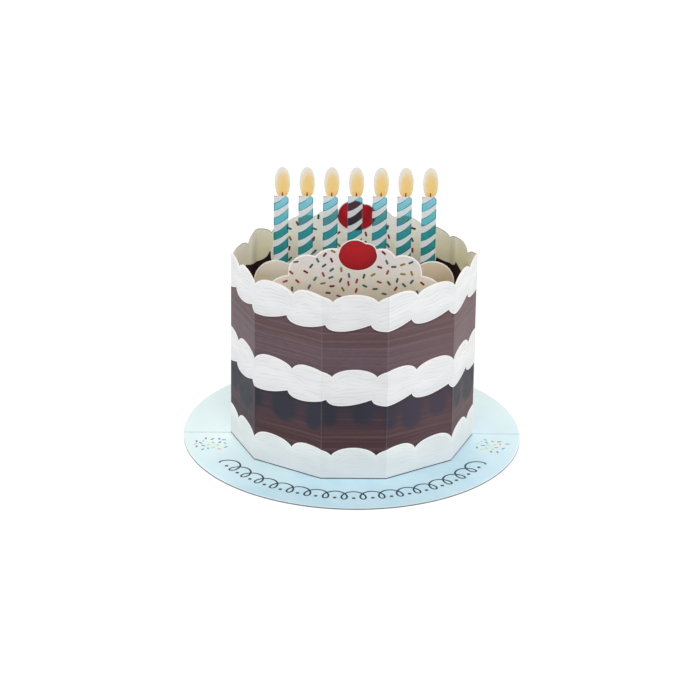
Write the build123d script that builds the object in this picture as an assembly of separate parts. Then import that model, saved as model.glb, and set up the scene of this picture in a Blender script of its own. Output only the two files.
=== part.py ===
from build123d import *
from math import atan2, cos, hypot, radians, sin
import os

os.makedirs("parts", exist_ok=True)

# Sizes in millimetres. Z is up, the base card lies on Z = 0 with its score line along X.

# Base card
BASE_D = 152.0            # diameter of the round base
BASE_T = 0.6              # board thickness of the base
SCORE_W = 0.8             # width of the score across the base
SCORE_DEEP = 0.25         # depth of the score

# Card and film stock
CARD_T = 0.4              # wall and frosting sheets
FILM_T = 0.25             # clear film of the candles
SPACER_T = 0.3            # folded spacers

# Cake wall, two half walls of five panels each
PITCH = 19.8              # one frosting scallop along the wall
FRONT_HALF = 14.4         # half the width of the front panel
TURN_1 = 33.0             # fold between the front panel and the next one, degrees
TURN_2 = 68.7             # direction of the end panel against the front panel, degrees
WALL_H = 84.8             # base to the valleys of the top edge
SCALLOP_RISE = 3.5        # valley to peak of the top edge
SCALLOP_LEAN = 2.6        # peaks beside the front one lean away from it
# Valleys of the back half wall's top edge, from its own left side; the photo shows both ends
BACK_VALLEYS = (-89.1, -69.3, -49.5, -31.3, -13.1, 5.1, 23.3, 41.5, 60.1, 81.0)
BACK_LEAN = 4.0           # lean of its second peak; the two cut by its ends lean half as far
FLAP_W = 8.0              # width of every glue flap of the wall
FLAP_INSET = 4.0          # how far a flap narrows at each end

# Frosting sheets with the cherry, front and back
MOUND_Y = 21.0            # distance of each sheet from the score line
MOUND_HALF = 40.0         # half the width of the sheet
SHEET_FOOT = 24.0         # lower edge of every inner sheet over the base
MOUND_SHOULDER = 77.0     # height where the straight side ends
LOW_VALLEY = (29.2, 86.5)     # valley between low and side scallop: distance from middle, height
SIDE_VALLEY = (17.5, 95.5)    # valley between side and top scallop
TOP_END = 98.9            # height where the top scallop meets the cherry
LOW_BULGE = 2.3           # rise of each scallop over its chord
SIDE_BULGE = 4.4
TOP_BULGE = 1.7
CHERRY_X = 1.1            # the cherry sits a little to the right of the middle
CHERRY_HALF = 8.1         # half its width where it meets the scallops
CHERRY_DIMPLE = (4.6, 101.8)  # stalk dimple at the top of the cherry
CHERRY_LEFT_BULGE = 3.1
CHERRY_RIGHT_BULGE = 0.9
BACK_RISE = 1.5           # the back sheet stands higher
BACK_REACH = 3.8          # and its side scallops reach further out
BACK_HALF = 36.2          # but it is narrower, with steeper ends
BACK_SHOULDER = 74.0

# Frosting sheet of the candles
CAKE_HALF = 44.5          # half the width of the sheet
CAKE_SHOULDER = 75.0      # height where the straight side ends
CAKE_VALLEY = 82.9        # valleys of its top edge over the base
CAKE_LOBE = 14.55         # pitch of the inner scallops
CAKE_END_BULGE = 5.2
CAKE_BULGE = 2.4

# Candle film
CANDLES = 7
CANDLE_PITCH = 10.85
CANDLE_W = 6.5
CANDLE_TOP = 115.3        # top of the candle bodies over the base
CANDLE_CORNER = 1.5       # rounded wax corner, top right
FILM_FOOT = 66.0          # lower edge of the film strip over the base
STRIP_TOP = 80.0          # upper edge of the strip that joins the candles
FLAME_W = 6.9
FLAME_H = 14.1
FLAME_NECK = 3.4          # width where the flame leaves the candle
FLAME_SINK = 0.4          # the flame starts this far below the candle top
FLAME_SHIFT = 0.5         # wick and flame stand right of the candle's middle

# Spacers, two in each gap between neighbouring sheets
SPACER_X = 18.0           # web distance from the middle, between two inner sheets
SPACER_FLAP = 8.0
SPACER_EDGE = 1.0         # flap to the edge of the front panel, where a wall carries it
SPACER_H = 14.0
SPACER_DROP = 6.0         # spacer top to the lower edge of the film strip
SPACER_KINK = 1.2         # the web is creased halfway and bends inwards this far


def left_offset(path, dist):
    """Return the path moved to its left by dist, with mitred corners."""
    rows = []
    for i, (x, y) in enumerate(path):
        ends = [path[max(i - 1, 0)], path[i], path[min(i + 1, len(path) - 1)]]
        dirs = [atan2(b[1] - a[1], b[0] - a[0]) for a, b in zip(ends, ends[1:]) if a != b]
        mean = atan2(sum(sin(d) for d in dirs), sum(cos(d) for d in dirs))
        reach = dist / cos(mean - dirs[0])
        rows.append((x - reach * sin(mean), y + reach * cos(mean)))
    return rows


def arc_edge(start, end, bulge):
    """Return the arc from start to end that stands bulge to the left of its chord."""
    run = (end[0] - start[0], end[1] - start[1])
    size = hypot(*run)
    mid = ((start[0] + end[0]) / 2, (start[1] + end[1]) / 2)
    top = (mid[0] - run[1] / size * bulge, mid[1] + run[0] / size * bulge)
    return ThreePointArc(start, top, end)


def outline_face(edges):
    """Return the face inside a closed run of edges."""
    return make_face(Wire(edges))


def upright(face, y_front, thick):
    """Stand a flat outline up parallel to the score line, its front side at y_front."""
    place = Plane(origin=(0, y_front + thick, BASE_T), x_dir=(1, 0, 0), z_dir=(0, -1, 0))
    return extrude(place * face, amount=thick)


# Base card: one round board with a V-shaped score where it folds
board = Cylinder(BASE_D / 2, BASE_T, align=(Align.CENTER, Align.CENTER, Align.MIN))
groove = Polygon((-SCORE_W / 2, 0), (SCORE_W / 2, 0), (0, -SCORE_DEEP), align=None)
groove = extrude(Plane(origin=(0, 0, BASE_T), x_dir=(0, 1, 0), z_dir=(1, 0, 0)) * groove,
                 amount=BASE_D, both=True)
base_card = board - groove

# Plan of a half wall: outer corners from the left side fold to the right one
PANEL_2 = 2.5 * PITCH - FRONT_HALF
PANEL_3 = 1.5 * PITCH
CORNER_2 = (FRONT_HALF + PANEL_2 * cos(radians(TURN_1)), PANEL_3 * sin(radians(TURN_2)))
WALL_HALF_W = CORNER_2[0] + PANEL_3 * cos(radians(TURN_2))
WALL_HALF_D = CORNER_2[1] + PANEL_2 * sin(radians(TURN_1))
FLAP_STEP = CARD_T / (2 * sin(radians(TURN_2)) * cos(radians(TURN_2)))
HALF_S = 4 * PITCH

# The right end panel stops short by one card, so that its flap lies inside the other half wall
plan = [
    (-WALL_HALF_W, 0, -TURN_2, -HALF_S, -2.5 * PITCH),
    (-CORNER_2[0], -CORNER_2[1], -TURN_1, -2.5 * PITCH, -FRONT_HALF),
    (-FRONT_HALF, -WALL_HALF_D, 0, -FRONT_HALF, FRONT_HALF),
    (FRONT_HALF, -WALL_HALF_D, TURN_1, FRONT_HALF, 2.5 * PITCH),
    (CORNER_2[0], -CORNER_2[1], TURN_2, 2.5 * PITCH, HALF_S - FLAP_STEP),
]


def scallop_edges(valleys, leans):
    """Return the scalloped top edge of a flat half wall: its valleys, and how far each peak leans."""
    edges = []
    for start, stop, lean in zip(valleys, valleys[1:], leans):
        left = (start, WALL_H)
        right = (stop, WALL_H)
        peak = ((start + stop) / 2 + lean, WALL_H + SCALLOP_RISE)
        for low, end in ((left, peak), (peak, right)):
            foot = low if low is left else end
            soft = (peak[0] + 0.5 * (foot[0] - peak[0]), peak[1])
            steep = (foot[0] + 0.12 * (peak[0] - foot[0]), foot[1] + 0.55 * SCALLOP_RISE)
            order = (steep, soft) if low is left else (soft, steep)
            edges.append(Bezier(low, *order, end))
    return edges


def panel(x, y, turn, face):
    """Stand a face on the plan at (x, y), running in the direction turn, card to the inside."""
    along = (cos(radians(turn)), sin(radians(turn)), 0)
    outward = (sin(radians(turn)), -cos(radians(turn)), 0)
    place = Plane(origin=(x, y, BASE_T), x_dir=along, z_dir=outward)
    return extrude(place * face, amount=-CARD_T)


def flap(length):
    """Return a glue flap: a strip from (0, 0) to (0, length) that narrows outwards."""
    return Polygon((0, FLAP_INSET), (FLAP_W, 2 * FLAP_INSET), (FLAP_W, length - 2 * FLAP_INSET),
                   (0, length - FLAP_INSET), align=None)


def half_wall(valleys, leans):
    """Return a half wall: its flat blank is cut at each fold and its panels stand on the plan."""
    blank = outline_face([
        *scallop_edges(valleys, leans),
        Line((valleys[-1], WALL_H), (valleys[-1], 0)),
        Line((valleys[-1], 0), (valleys[0], 0)),
        Line((valleys[0], 0), (valleys[0], WALL_H)),
    ])
    wall = None
    for x, y, turn, s_from, s_to in plan:
        cut = Pos((s_from + s_to) / 2, WALL_H) * Rectangle(s_to - s_from, 4 * WALL_H)
        piece = panel(x, y, turn, Pos(-s_from, 0) * (blank & cut))
        wall = piece if wall is None else wall + piece

    # End flap, folded in behind the neighbouring end panel of the other half wall
    end_run = PANEL_3 - FLAP_STEP
    end_x = CORNER_2[0] + end_run * cos(radians(TURN_2))
    end_y = -CORNER_2[1] + end_run * sin(radians(TURN_2))
    wall += panel(end_x, end_y, 180 - TURN_2, flap(WALL_H))

    # Foot flap, folded in under the front panel and glued to the base
    foot = Plane(origin=(-FRONT_HALF, -WALL_HALF_D, BASE_T), x_dir=(0, 1, 0), z_dir=(0, 0, -1))
    return wall + extrude(foot * flap(2 * FRONT_HALF), amount=-CARD_T)


front_valleys = [(k - 0.5) * PITCH for k in range(-4, 6)]
front_leans = [SCALLOP_LEAN * ((0 < k < 4) - (-4 < k < 0)) for k in range(-4, 5)]
back_leans = [-BACK_LEAN / 2, -BACK_LEAN, 0, 0, 0, 0, 0, 0, BACK_LEAN / 2]
front_wall = half_wall(front_valleys, front_leans)
back_wall = Rot(0, 0, 180) * half_wall(BACK_VALLEYS, back_leans)


def sheet_outline(half, shoulder, valleys, bulges, middle):
    """Return a frosting sheet: straight sides, mirrored scallops and what middle draws between."""
    left = [(-half, shoulder)] + [(-x, z) for x, z in valleys]
    right = [(half, shoulder)] + list(valleys)
    edges = [Line((-half, SHEET_FOOT), left[0])]
    edges += [arc_edge(a, b, bulge) for a, b, bulge in zip(left, left[1:], bulges)]
    edges += middle(left[-1], right[-1])
    edges += [arc_edge(b, a, bulge) for a, b, bulge in zip(right, right[1:], bulges)][::-1]
    edges += [Line(right[0], (half, SHEET_FOOT)), Line((half, SHEET_FOOT), (-half, SHEET_FOOT))]
    return outline_face(edges)


def cherry_middle(left, right):
    """Return the last scallops and the cherry between them."""
    rise = left[1] - SIDE_VALLEY[1]
    start = (CHERRY_X - CHERRY_HALF, TOP_END + rise)
    dimple = (CHERRY_DIMPLE[0], CHERRY_DIMPLE[1] + rise)
    end = (CHERRY_X + CHERRY_HALF, TOP_END + rise)
    return [
        arc_edge(left, start, TOP_BULGE),
        arc_edge(start, dimple, CHERRY_LEFT_BULGE),
        arc_edge(dimple, end, CHERRY_RIGHT_BULGE),
        arc_edge(end, right, TOP_BULGE),
    ]


def scallop_middle(left, right):
    """Return the equal scallops between the two end scallops."""
    count = max(1, round((right[0] - left[0]) / CAKE_LOBE))
    step = (right[0] - left[0]) / count
    knots = [(left[0] + i * step, left[1]) for i in range(count + 1)]
    return [arc_edge(a, b, CAKE_BULGE) for a, b in zip(knots, knots[1:])]


def mound(half, shoulder, reach, rise):
    """Return the outline of a cherry sheet, its low valleys moved out and its scallops up."""
    valleys = [(LOW_VALLEY[0] + reach, LOW_VALLEY[1] + rise), (SIDE_VALLEY[0], SIDE_VALLEY[1] + rise)]
    return sheet_outline(half, shoulder, valleys, [LOW_BULGE, SIDE_BULGE], cherry_middle)


front_outline = mound(MOUND_HALF, MOUND_SHOULDER, 0, 0)
back_outline = mound(BACK_HALF, BACK_SHOULDER, BACK_REACH, BACK_RISE)
front_mound = upright(front_outline, -MOUND_Y - CARD_T / 2, CARD_T)
back_mound = upright(back_outline, MOUND_Y - CARD_T / 2, CARD_T)

cake_top = sheet_outline(CAKE_HALF, CAKE_SHOULDER, [(2 * CAKE_LOBE, CAKE_VALLEY)],
                         [CAKE_END_BULGE], scallop_middle)
candle_mound = upright(cake_top, -CARD_T / 2, CARD_T)

# Candle film: one die-cut comb of candles with flames, behind the middle frosting sheet
body = Pos(0, (FILM_FOOT + CANDLE_TOP) / 2) * Rectangle(CANDLE_W, CANDLE_TOP - FILM_FOOT)
body = fillet(body.vertices().group_by(Axis.Y)[-1].sort_by(Axis.X)[-1], CANDLE_CORNER)
tip = CANDLE_TOP - FLAME_SINK + FLAME_H
neck = CANDLE_TOP - FLAME_SINK
flame_side = [(side * FLAME_W * f, neck + FLAME_H * h)
              for side, f, h in ((1, 0.65, 0.26), (1, 0.56, 1), (-1, 0.56, 1), (-1, 0.65, 0.26))]
flame = outline_face([
    Bezier((FLAME_NECK / 2, neck), flame_side[0], flame_side[1], (0, tip)),
    Bezier((0, tip), flame_side[2], flame_side[3], (-FLAME_NECK / 2, neck)),
    Line((-FLAME_NECK / 2, neck), (FLAME_NECK / 2, neck)),
])
strip_w = (CANDLES - 1) * CANDLE_PITCH + CANDLE_W
comb = Pos(0, (FILM_FOOT + STRIP_TOP) / 2) * Rectangle(strip_w, STRIP_TOP - FILM_FOOT)
for i in range(CANDLES):
    comb += Pos((i - (CANDLES - 1) / 2) * CANDLE_PITCH, 0) * (body + Pos(FLAME_SHIFT, 0) * flame)
candle_film = upright(comb, CARD_T / 2, FILM_T)


SPACER_Z = FILM_FOOT - SPACER_DROP - SPACER_H


def spacer(x, y_from, y_to):
    """Return the right spacer between two faces: flap, creased web and flap in one strip."""
    path = [
        (x + SPACER_FLAP, y_to),
        (x, y_to),
        (x - SPACER_KINK, (y_from + y_to) / 2),
        (x, y_from),
        (x + SPACER_FLAP, y_from),
    ]
    section = Polygon(*path, *left_offset(path, SPACER_T)[::-1], align=None)
    return extrude(Pos(0, 0, BASE_T + SPACER_Z) * section, amount=SPACER_H)


# Place of each spacer web and the two faces that it joins, from front to back
WALL_SPACER_X = FRONT_HALF - SPACER_EDGE - SPACER_FLAP
gaps = [
    (WALL_SPACER_X, -WALL_HALF_D + CARD_T, -MOUND_Y - CARD_T / 2),
    (SPACER_X, -MOUND_Y + CARD_T / 2, -CARD_T / 2),
    (SPACER_X, CARD_T / 2, MOUND_Y - CARD_T / 2),
    (WALL_SPACER_X, MOUND_Y + CARD_T / 2, WALL_HALF_D - CARD_T),
]

parts = {
    "base_card": base_card,
    "front_wall": front_wall,
    "back_wall": back_wall,
    "front_mound": front_mound,
    "candle_mound": candle_mound,
    "candle_film": candle_film,
    "back_mound": back_mound,
}
for number, gap in enumerate(gaps, 1):
    right_spacer = spacer(*gap)
    parts[f"spacer_{number}_right"] = right_spacer
    parts[f"spacer_{number}_left"] = mirror(right_spacer, about=Plane.YZ)

for name, part in parts.items():
    export_step(part, f"parts/{name}.step")
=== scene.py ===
"""Pop-up cake card of printed card and clear film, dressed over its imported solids."""

import logging
import math
from collections.abc import Callable, Sequence
from dataclasses import dataclass, field
from enum import Enum
from functools import cache
from operator import attrgetter

import bpy
from mathutils import Matrix, Vector
from mathutils.geometry import delaunay_2d_cdt

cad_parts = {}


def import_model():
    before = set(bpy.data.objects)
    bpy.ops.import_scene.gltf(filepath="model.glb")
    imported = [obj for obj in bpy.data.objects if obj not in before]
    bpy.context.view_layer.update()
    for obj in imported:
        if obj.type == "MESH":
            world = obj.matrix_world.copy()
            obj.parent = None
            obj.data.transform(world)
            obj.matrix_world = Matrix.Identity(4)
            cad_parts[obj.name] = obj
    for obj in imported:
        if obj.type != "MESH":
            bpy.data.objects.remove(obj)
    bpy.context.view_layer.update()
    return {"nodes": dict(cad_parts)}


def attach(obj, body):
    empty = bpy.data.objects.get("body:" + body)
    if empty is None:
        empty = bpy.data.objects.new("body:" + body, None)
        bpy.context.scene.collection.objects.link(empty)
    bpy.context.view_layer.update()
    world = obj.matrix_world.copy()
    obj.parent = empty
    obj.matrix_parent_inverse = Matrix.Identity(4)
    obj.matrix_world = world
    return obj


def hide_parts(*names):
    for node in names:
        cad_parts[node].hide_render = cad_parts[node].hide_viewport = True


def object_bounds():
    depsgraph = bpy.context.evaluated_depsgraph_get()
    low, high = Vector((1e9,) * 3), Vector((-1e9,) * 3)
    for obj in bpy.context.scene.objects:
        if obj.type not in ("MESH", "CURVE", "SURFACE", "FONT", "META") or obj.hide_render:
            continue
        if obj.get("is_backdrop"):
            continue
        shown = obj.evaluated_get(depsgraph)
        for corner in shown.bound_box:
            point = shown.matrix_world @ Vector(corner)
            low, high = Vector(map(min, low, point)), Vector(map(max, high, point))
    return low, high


LOG = logging.getLogger("cake_card")
MM = 0.001
Point = tuple[float, float]
Spot = tuple[float, float, float]
Stops = tuple[tuple[float, str], ...]
Socket = bpy.types.NodeSocket
Value = Socket | float
Place = Callable[[float, float, float], Spot]
Reads = Callable[[float, float], dict[str, float]]


# Flat outlines, in millimetres


def arc(start: Point, end: Point, bulge: float, steps: int = 10) -> list[Point]:
    """Sample an arc that stands out to the left of its chord.

    Args:
        start: First point of the arc.
        end: Last point of the arc, which is left out of the result.
        bulge: Height of the arc over its chord.
        steps: Number of chords that stand for the arc.

    Returns:
        The points from start up to the one before end.
    """
    run = Vector(end) - Vector(start)
    half = run.length / 2
    radius = (half * half + bulge * bulge) / (2 * bulge)
    side = Vector((-run.y, run.x)).normalized()
    centre = (Vector(start) + Vector(end)) / 2 + side * (bulge - radius)
    spread = math.asin(min(1.0, half / radius))
    along = run.normalized()
    points = []
    for i in range(steps):
        turn = spread * (2 * i / steps - 1)
        spot = centre + along * math.sin(turn) * radius + side * math.cos(turn) * radius
        points.append((spot.x, spot.y))
    return points


def bezier(a: Point, b: Point, c: Point, d: Point, steps: int = 8) -> list[Point]:
    """Sample a cubic curve.

    Args:
        a: First point of the curve.
        b: Handle of the first point.
        c: Handle of the last point.
        d: Last point, which is left out of the result.
        steps: Number of chords that stand for the curve.

    Returns:
        The points from a up to the one before d.
    """
    points = []
    for i in range(steps):
        t = i / steps
        w = ((1 - t) ** 3, 3 * t * (1 - t) ** 2, 3 * t * t * (1 - t), t**3)
        points.append(tuple(sum(k * p[j] for k, p in zip(w, (a, b, c, d))) for j in (0, 1)))
    return points


def box_field(left: float, low: float, right: float, high: float) -> list[Point]:
    """Return an upright rectangle."""
    return [(left, low), (right, low), (right, high), (left, high)]


def signed_area(loop: Sequence[Point]) -> float:
    """Return the area inside a loop, positive where it runs counterclockwise."""
    pairs = zip(loop, [*loop[1:], loop[0]])
    return sum(a[0] * b[1] - b[0] * a[1] for a, b in pairs) / 2


def level_at(line: Sequence[Point], x: float) -> float:
    """Read the height of a line that runs from left to right.

    Args:
        line: Points of the line.
        x: Place to read it at.

    Returns:
        The height there, held at that of the nearer end beyond the line.
    """
    for a, b in zip(line, line[1:]):
        if a[0] <= x <= b[0]:
            return a[1] + (b[1] - a[1]) * (x - a[0]) / max(b[0] - a[0], 1e-9)
    return line[0][1] if x < line[0][0] else line[-1][1]


def trimmed(line: Sequence[Point], low: float, high: float) -> list[Point]:
    """Return the part of a left-to-right line between two x values, with its cut ends."""
    inside = [p for p in line if low < p[0] < high]
    return [(low, level_at(line, low)), *inside, (high, level_at(line, high))]


def beside(line: Sequence[Point], width: float) -> list[Point]:
    """Move a line sideways.

    Args:
        line: Points of the line, in order.
        width: How far it moves to its left; to its right where negative.

    Returns:
        The moved points, one for each given point.
    """
    edge = []
    for before, here, after in zip([line[0], *line], line, [*line[1:], line[-1]]):
        run = Vector(after) - Vector(before)
        side = Vector((-run.y, run.x)).normalized() * width
        edge.append((here[0] + side.x, here[1] + side.y))
    return edge


def inset_cells(outline: Sequence[Point], hole: Sequence[Point], margin: float, cell: float) -> list[Point]:
    """Return the centres of square cells that keep clear of an outline and of a hole in it.

    Args:
        outline: Loop that the cells lie in.
        hole: Loop that the cells stay out of.
        margin: Least distance of a cell's centre from either loop.
        cell: Pitch of the cells.

    Returns:
        The centres of the cells that are kept.
    """

    def winds(loop: Sequence[Point], x: float, y: float) -> bool:
        """Tell whether a point lies inside a loop.

        Args:
            loop: Points of the loop.
            x: First coordinate of the point.
            y: Second coordinate of the point.

        Returns:
            True inside the loop.
        """
        inside = False
        for (ax, ay), (bx, by) in zip(loop, [*loop[1:], loop[0]]):
            if (ay > y) != (by > y) and x < ax + (bx - ax) * (y - ay) / (by - ay):
                inside = not inside
        return inside

    xs, ys = [p[0] for p in outline], [p[1] for p in outline]
    cells = []
    for i in range(int((max(xs) - min(xs)) / cell)):
        for j in range(int((max(ys) - min(ys)) / cell)):
            x, y = min(xs) + (i + 0.5) * cell, min(ys) + (j + 0.5) * cell
            near = min(math.hypot(x - a, y - b) for a, b in [*outline, *hole])
            if near > margin and winds(outline, x, y) and not winds(hole, x, y):
                cells.append((x, y))
    return cells


# Node trees


def darker(code: str, share: float = 0.86) -> str:
    """Return a #RRGGBB colour with its parts scaled down."""
    return "#" + "".join(f"{round(int(code[i : i + 2], 16) * share):02X}" for i in (1, 3, 5))


def linear(code: str) -> tuple[float, float, float, float]:
    """Turn a colour code into scene-linear parts.

    Args:
        code: Colour as #RRGGBB.

    Returns:
        Red, green, blue and alpha.
    """
    parts = [int(code[i : i + 2], 16) / 255 for i in (1, 3, 5)]
    low = [c / 12.92 if c <= 0.04045 else ((c + 0.055) / 1.055) ** 2.4 for c in parts]
    return (*low, 1.0)


class Graph:
    """A node tree that is being wired."""

    def __init__(self, tree: bpy.types.NodeTree) -> None:
        """Take over a tree and empty it."""
        self.tree = tree
        tree.nodes.clear()

    def node(
        self, kind: str, inputs: dict[int | str, object] | None = None, **settings: object
    ) -> bpy.types.Node:
        """Add a node.

        Args:
            kind: Blender's name of the node type.
            inputs: Value or source socket for each input, by name or place.
            settings: Properties of the node.

        Returns:
            The new node.
        """
        made = self.tree.nodes.new(kind)
        for key, value in settings.items():
            setattr(made, key, value)
        for key, value in (inputs or {}).items():
            if isinstance(value, bpy.types.NodeSocket):
                self.tree.links.new(value, made.inputs[key])
            else:
                made.inputs[key].default_value = value
        return made

    def out(self, kind: str, inputs: dict[int | str, object] | None = None, **settings: object) -> Socket:
        """Add a node and return its first output."""
        return self.node(kind, inputs, **settings).outputs[0]

    def maths(self, what: str, a: Value, b: Value = 0.0) -> Socket:
        """Return the result of one sum."""
        return self.out("ShaderNodeMath", {0: a, 1: b}, operation=what)

    def times(self, a: Value, b: Value) -> Socket:
        """Return a product."""
        return self.maths("MULTIPLY", a, b)

    def plus(self, a: Value, b: Value) -> Socket:
        """Return a sum."""
        return self.maths("ADD", a, b)

    def minus(self, a: Value, b: Value) -> Socket:
        """Return a difference."""
        return self.maths("SUBTRACT", a, b)

    def length(self, x: Value, y: Value) -> Socket:
        """Return the length of a way with two legs."""
        return self.maths("SQRT", self.plus(self.maths("POWER", x, 2.0), self.maths("POWER", y, 2.0)))

    def vector(self, x: Value, y: Value = 0.0, z: Value = 0.0) -> Socket:
        """Return a vector made of its three parts."""
        return self.out("ShaderNodeCombineXYZ", {0: x, 1: y, 2: z})


class Paint(Graph):
    """A shader tree, with the few steps that every print needs."""

    def read(self, name: str) -> Socket:
        """Return a mesh attribute."""
        return self.node("ShaderNodeAttribute", attribute_name=name).outputs["Fac"]

    def noise(self, scale: float | Point, detail: float = 3.0, wobble: float = 0.0) -> Socket:
        """Wire a noise.

        Args:
            scale: Waves a metre over the object, or waves a millimetre along and up the flat sheet.
            detail: Number of finer waves over the first.
            wobble: Strength of its own distortion.

        Returns:
            A value between 0 and 1.
        """
        values = {"Detail": detail, "Distortion": wobble}
        if isinstance(scale, tuple):
            along, rise = (self.times(self.read(name), k) for name, k in zip(("along", "rise"), scale))
            values |= {"Vector": self.vector(along, rise), "Scale": 1.0}
        else:
            spot = self.node("ShaderNodeTexCoord").outputs["Object"]
            values |= {"Vector": spot, "Scale": scale}
        return self.node("ShaderNodeTexNoise", values).outputs["Fac"]

    def remap(self, value: Socket, low: float, high: float, to: Point = (0.0, 1.0)) -> Socket:
        """Return a value stretched from one range to another, held at its ends."""
        values = {0: value, 1: low, 2: high, 3: to[0], 4: to[1]}
        return self.out("ShaderNodeMapRange", values, clamp=True)

    def mix(self, share: Value, low: Socket | str, high: Socket | str, how: str = "MIX") -> Socket:
        """Mix two colours.

        Args:
            share: How much of the second colour shows, from 0 to 1.
            low: First colour, as a socket or as #RRGGBB.
            high: Second colour, as a socket or as #RRGGBB.
            how: Blend mode.

        Returns:
            The mixed colour.
        """
        low, high = (linear(tone) if isinstance(tone, str) else tone for tone in (low, high))
        settings = {"data_type": "RGBA", "blend_type": how, "clamp_factor": True}
        return self.node("ShaderNodeMix", {0: share, 6: low, 7: high}, **settings).outputs[2]

    def over(self, ground: Socket, tone: Socket | str, where: Socket, share: float) -> Socket:
        """Return a ground with a tone over it, where a value is high and up to a share."""
        return self.mix(self.times(where, share), ground, tone)

    def ramp(self, value: Socket, stops: Stops) -> Socket:
        """Read a colour from a row of stops.

        Args:
            value: Place on the row, from 0 to 1.
            stops: Place and colour of each stop.

        Returns:
            The colour.
        """
        made = self.node("ShaderNodeValToRGB", {0: value})
        bar = made.color_ramp.elements
        while len(bar) < len(stops):
            bar.new(0.5)
        for stop, (place, code) in zip(bar, stops):
            stop.position, stop.color = place, linear(code)
        return made.outputs[0]

    def surface(
        self, colour: Socket, roughness: Value, gloss: float, normal: Socket | None = None
    ) -> bpy.types.Node:
        """Add a plain surface shader.

        Args:
            colour: Colour of the surface.
            roughness: Roughness of the surface.
            gloss: Strength of the mirror light.
            normal: Normal that follows its relief, or None.

        Returns:
            The shader.
        """
        values = {"Base Color": colour, "Roughness": roughness, "Specular IOR Level": gloss}
        if normal is not None:
            values["Normal"] = normal
        return self.node("ShaderNodeBsdfPrincipled", values)

    def film(self, cover: Value, tint: Socket | tuple[float, ...], solid: bpy.types.Node) -> bpy.types.Node:
        """Return a shader that lies over tinted clear film by its cover."""
        clear = self.out("ShaderNodeBsdfTransparent", {"Color": tint})
        return self.node("ShaderNodeMixShader", {0: cover, 1: clear, 2: solid.outputs[0]})


# Finishes


@dataclass(frozen=True)
class Finish:
    """A named material, whose kinds wire their own shader."""

    name: str

    def shader(self, paint: Paint) -> bpy.types.Node:
        """Return the shader of the finish."""
        raise NotImplementedError

    def build(self) -> bpy.types.Material:
        """Build the material.

        Returns:
            The finished material.
        """
        material = bpy.data.materials.new(self.name)
        material.use_nodes = True
        paint = Paint(material.node_tree)
        paint.node("ShaderNodeOutputMaterial", {"Surface": self.shader(paint).outputs[0]})
        return material


@dataclass(frozen=True)
class PaperFinish(Finish):
    """Coated paper in one ink, with fibres and a faint uneven tone."""

    tone: str = "#F4F3F0"
    tone_2: str = "#ECEBE8"
    cloud: float = 60.0
    tooth: float = 0.006
    roughness: float = 0.55
    gloss: float = 0.3
    fibres: float = 2600.0

    def colour(self, paint: Paint) -> Socket:
        """Return the colour of the print."""
        return paint.mix(paint.noise(self.cloud, 4.0), self.tone, self.tone_2)

    def relief(self, paint: Paint) -> Socket:
        """Return the height of the paper fibres."""
        return paint.noise(self.fibres, 2.0)

    def shader(self, paint: Paint) -> bpy.types.Node:
        """Wire the print with its relief.

        Args:
            paint: Shader tree to wire.

        Returns:
            The shader.
        """
        worn = paint.noise(180.0, 2.0)
        matt = paint.remap(worn, 0.3, 0.7, (self.roughness - 0.04, self.roughness + 0.04))
        bump = {"Height": self.relief(paint), "Distance": self.tooth * MM, "Strength": 1.0}
        return paint.surface(self.colour(paint), matt, self.gloss, paint.out("ShaderNodeBump", bump))


@dataclass(frozen=True)
class FrostingFinish(PaperFinish):
    """Piped frosting print: pale ground, fine wavy lines that follow each scallop."""

    tooth: float = 0.02
    stops: Stops = ()
    line: str = "#CDCECE"
    line_share: float = 0.42
    lines: float = 9.0
    fold: str = "#D3DADD"

    def waves(self, paint: Paint) -> Socket:
        """Wire the fine lines of the piped frosting.

        Args:
            paint: Shader tree to wire.

        Returns:
            Their strength, 0 between them and 1 on them.
        """
        place = paint.plus(paint.read("lobe"), paint.times(paint.noise((0.07, 0.06), 1.0), 0.5))
        swing = paint.maths("SINE", paint.times(place, self.lines * math.tau))
        broken = paint.remap(paint.noise((0.09, 0.8), 2.0), 0.40, 0.66)
        return paint.times(paint.remap(swing, -0.2, 1.0), broken)

    def colour(self, paint: Paint) -> Socket:
        """Wire the colour of the print.

        Args:
            paint: Shader tree to wire.

        Returns:
            The colour.
        """
        ground = paint.ramp(paint.read("lobe"), self.stops)
        cloud = paint.remap(paint.noise((0.05, 0.12)), 0.35, 0.7)
        ground = paint.mix(cloud, ground, self.tone_2, "MULTIPLY")
        ground = paint.over(ground, self.line, self.waves(paint), self.line_share)
        return paint.over(ground, self.fold, paint.read("crease"), 0.35)

    def relief(self, paint: Paint) -> Socket:
        """Return the height of fibres and embossed lines."""
        return paint.minus(paint.times(super().relief(paint), 0.5), self.waves(paint))


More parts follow.
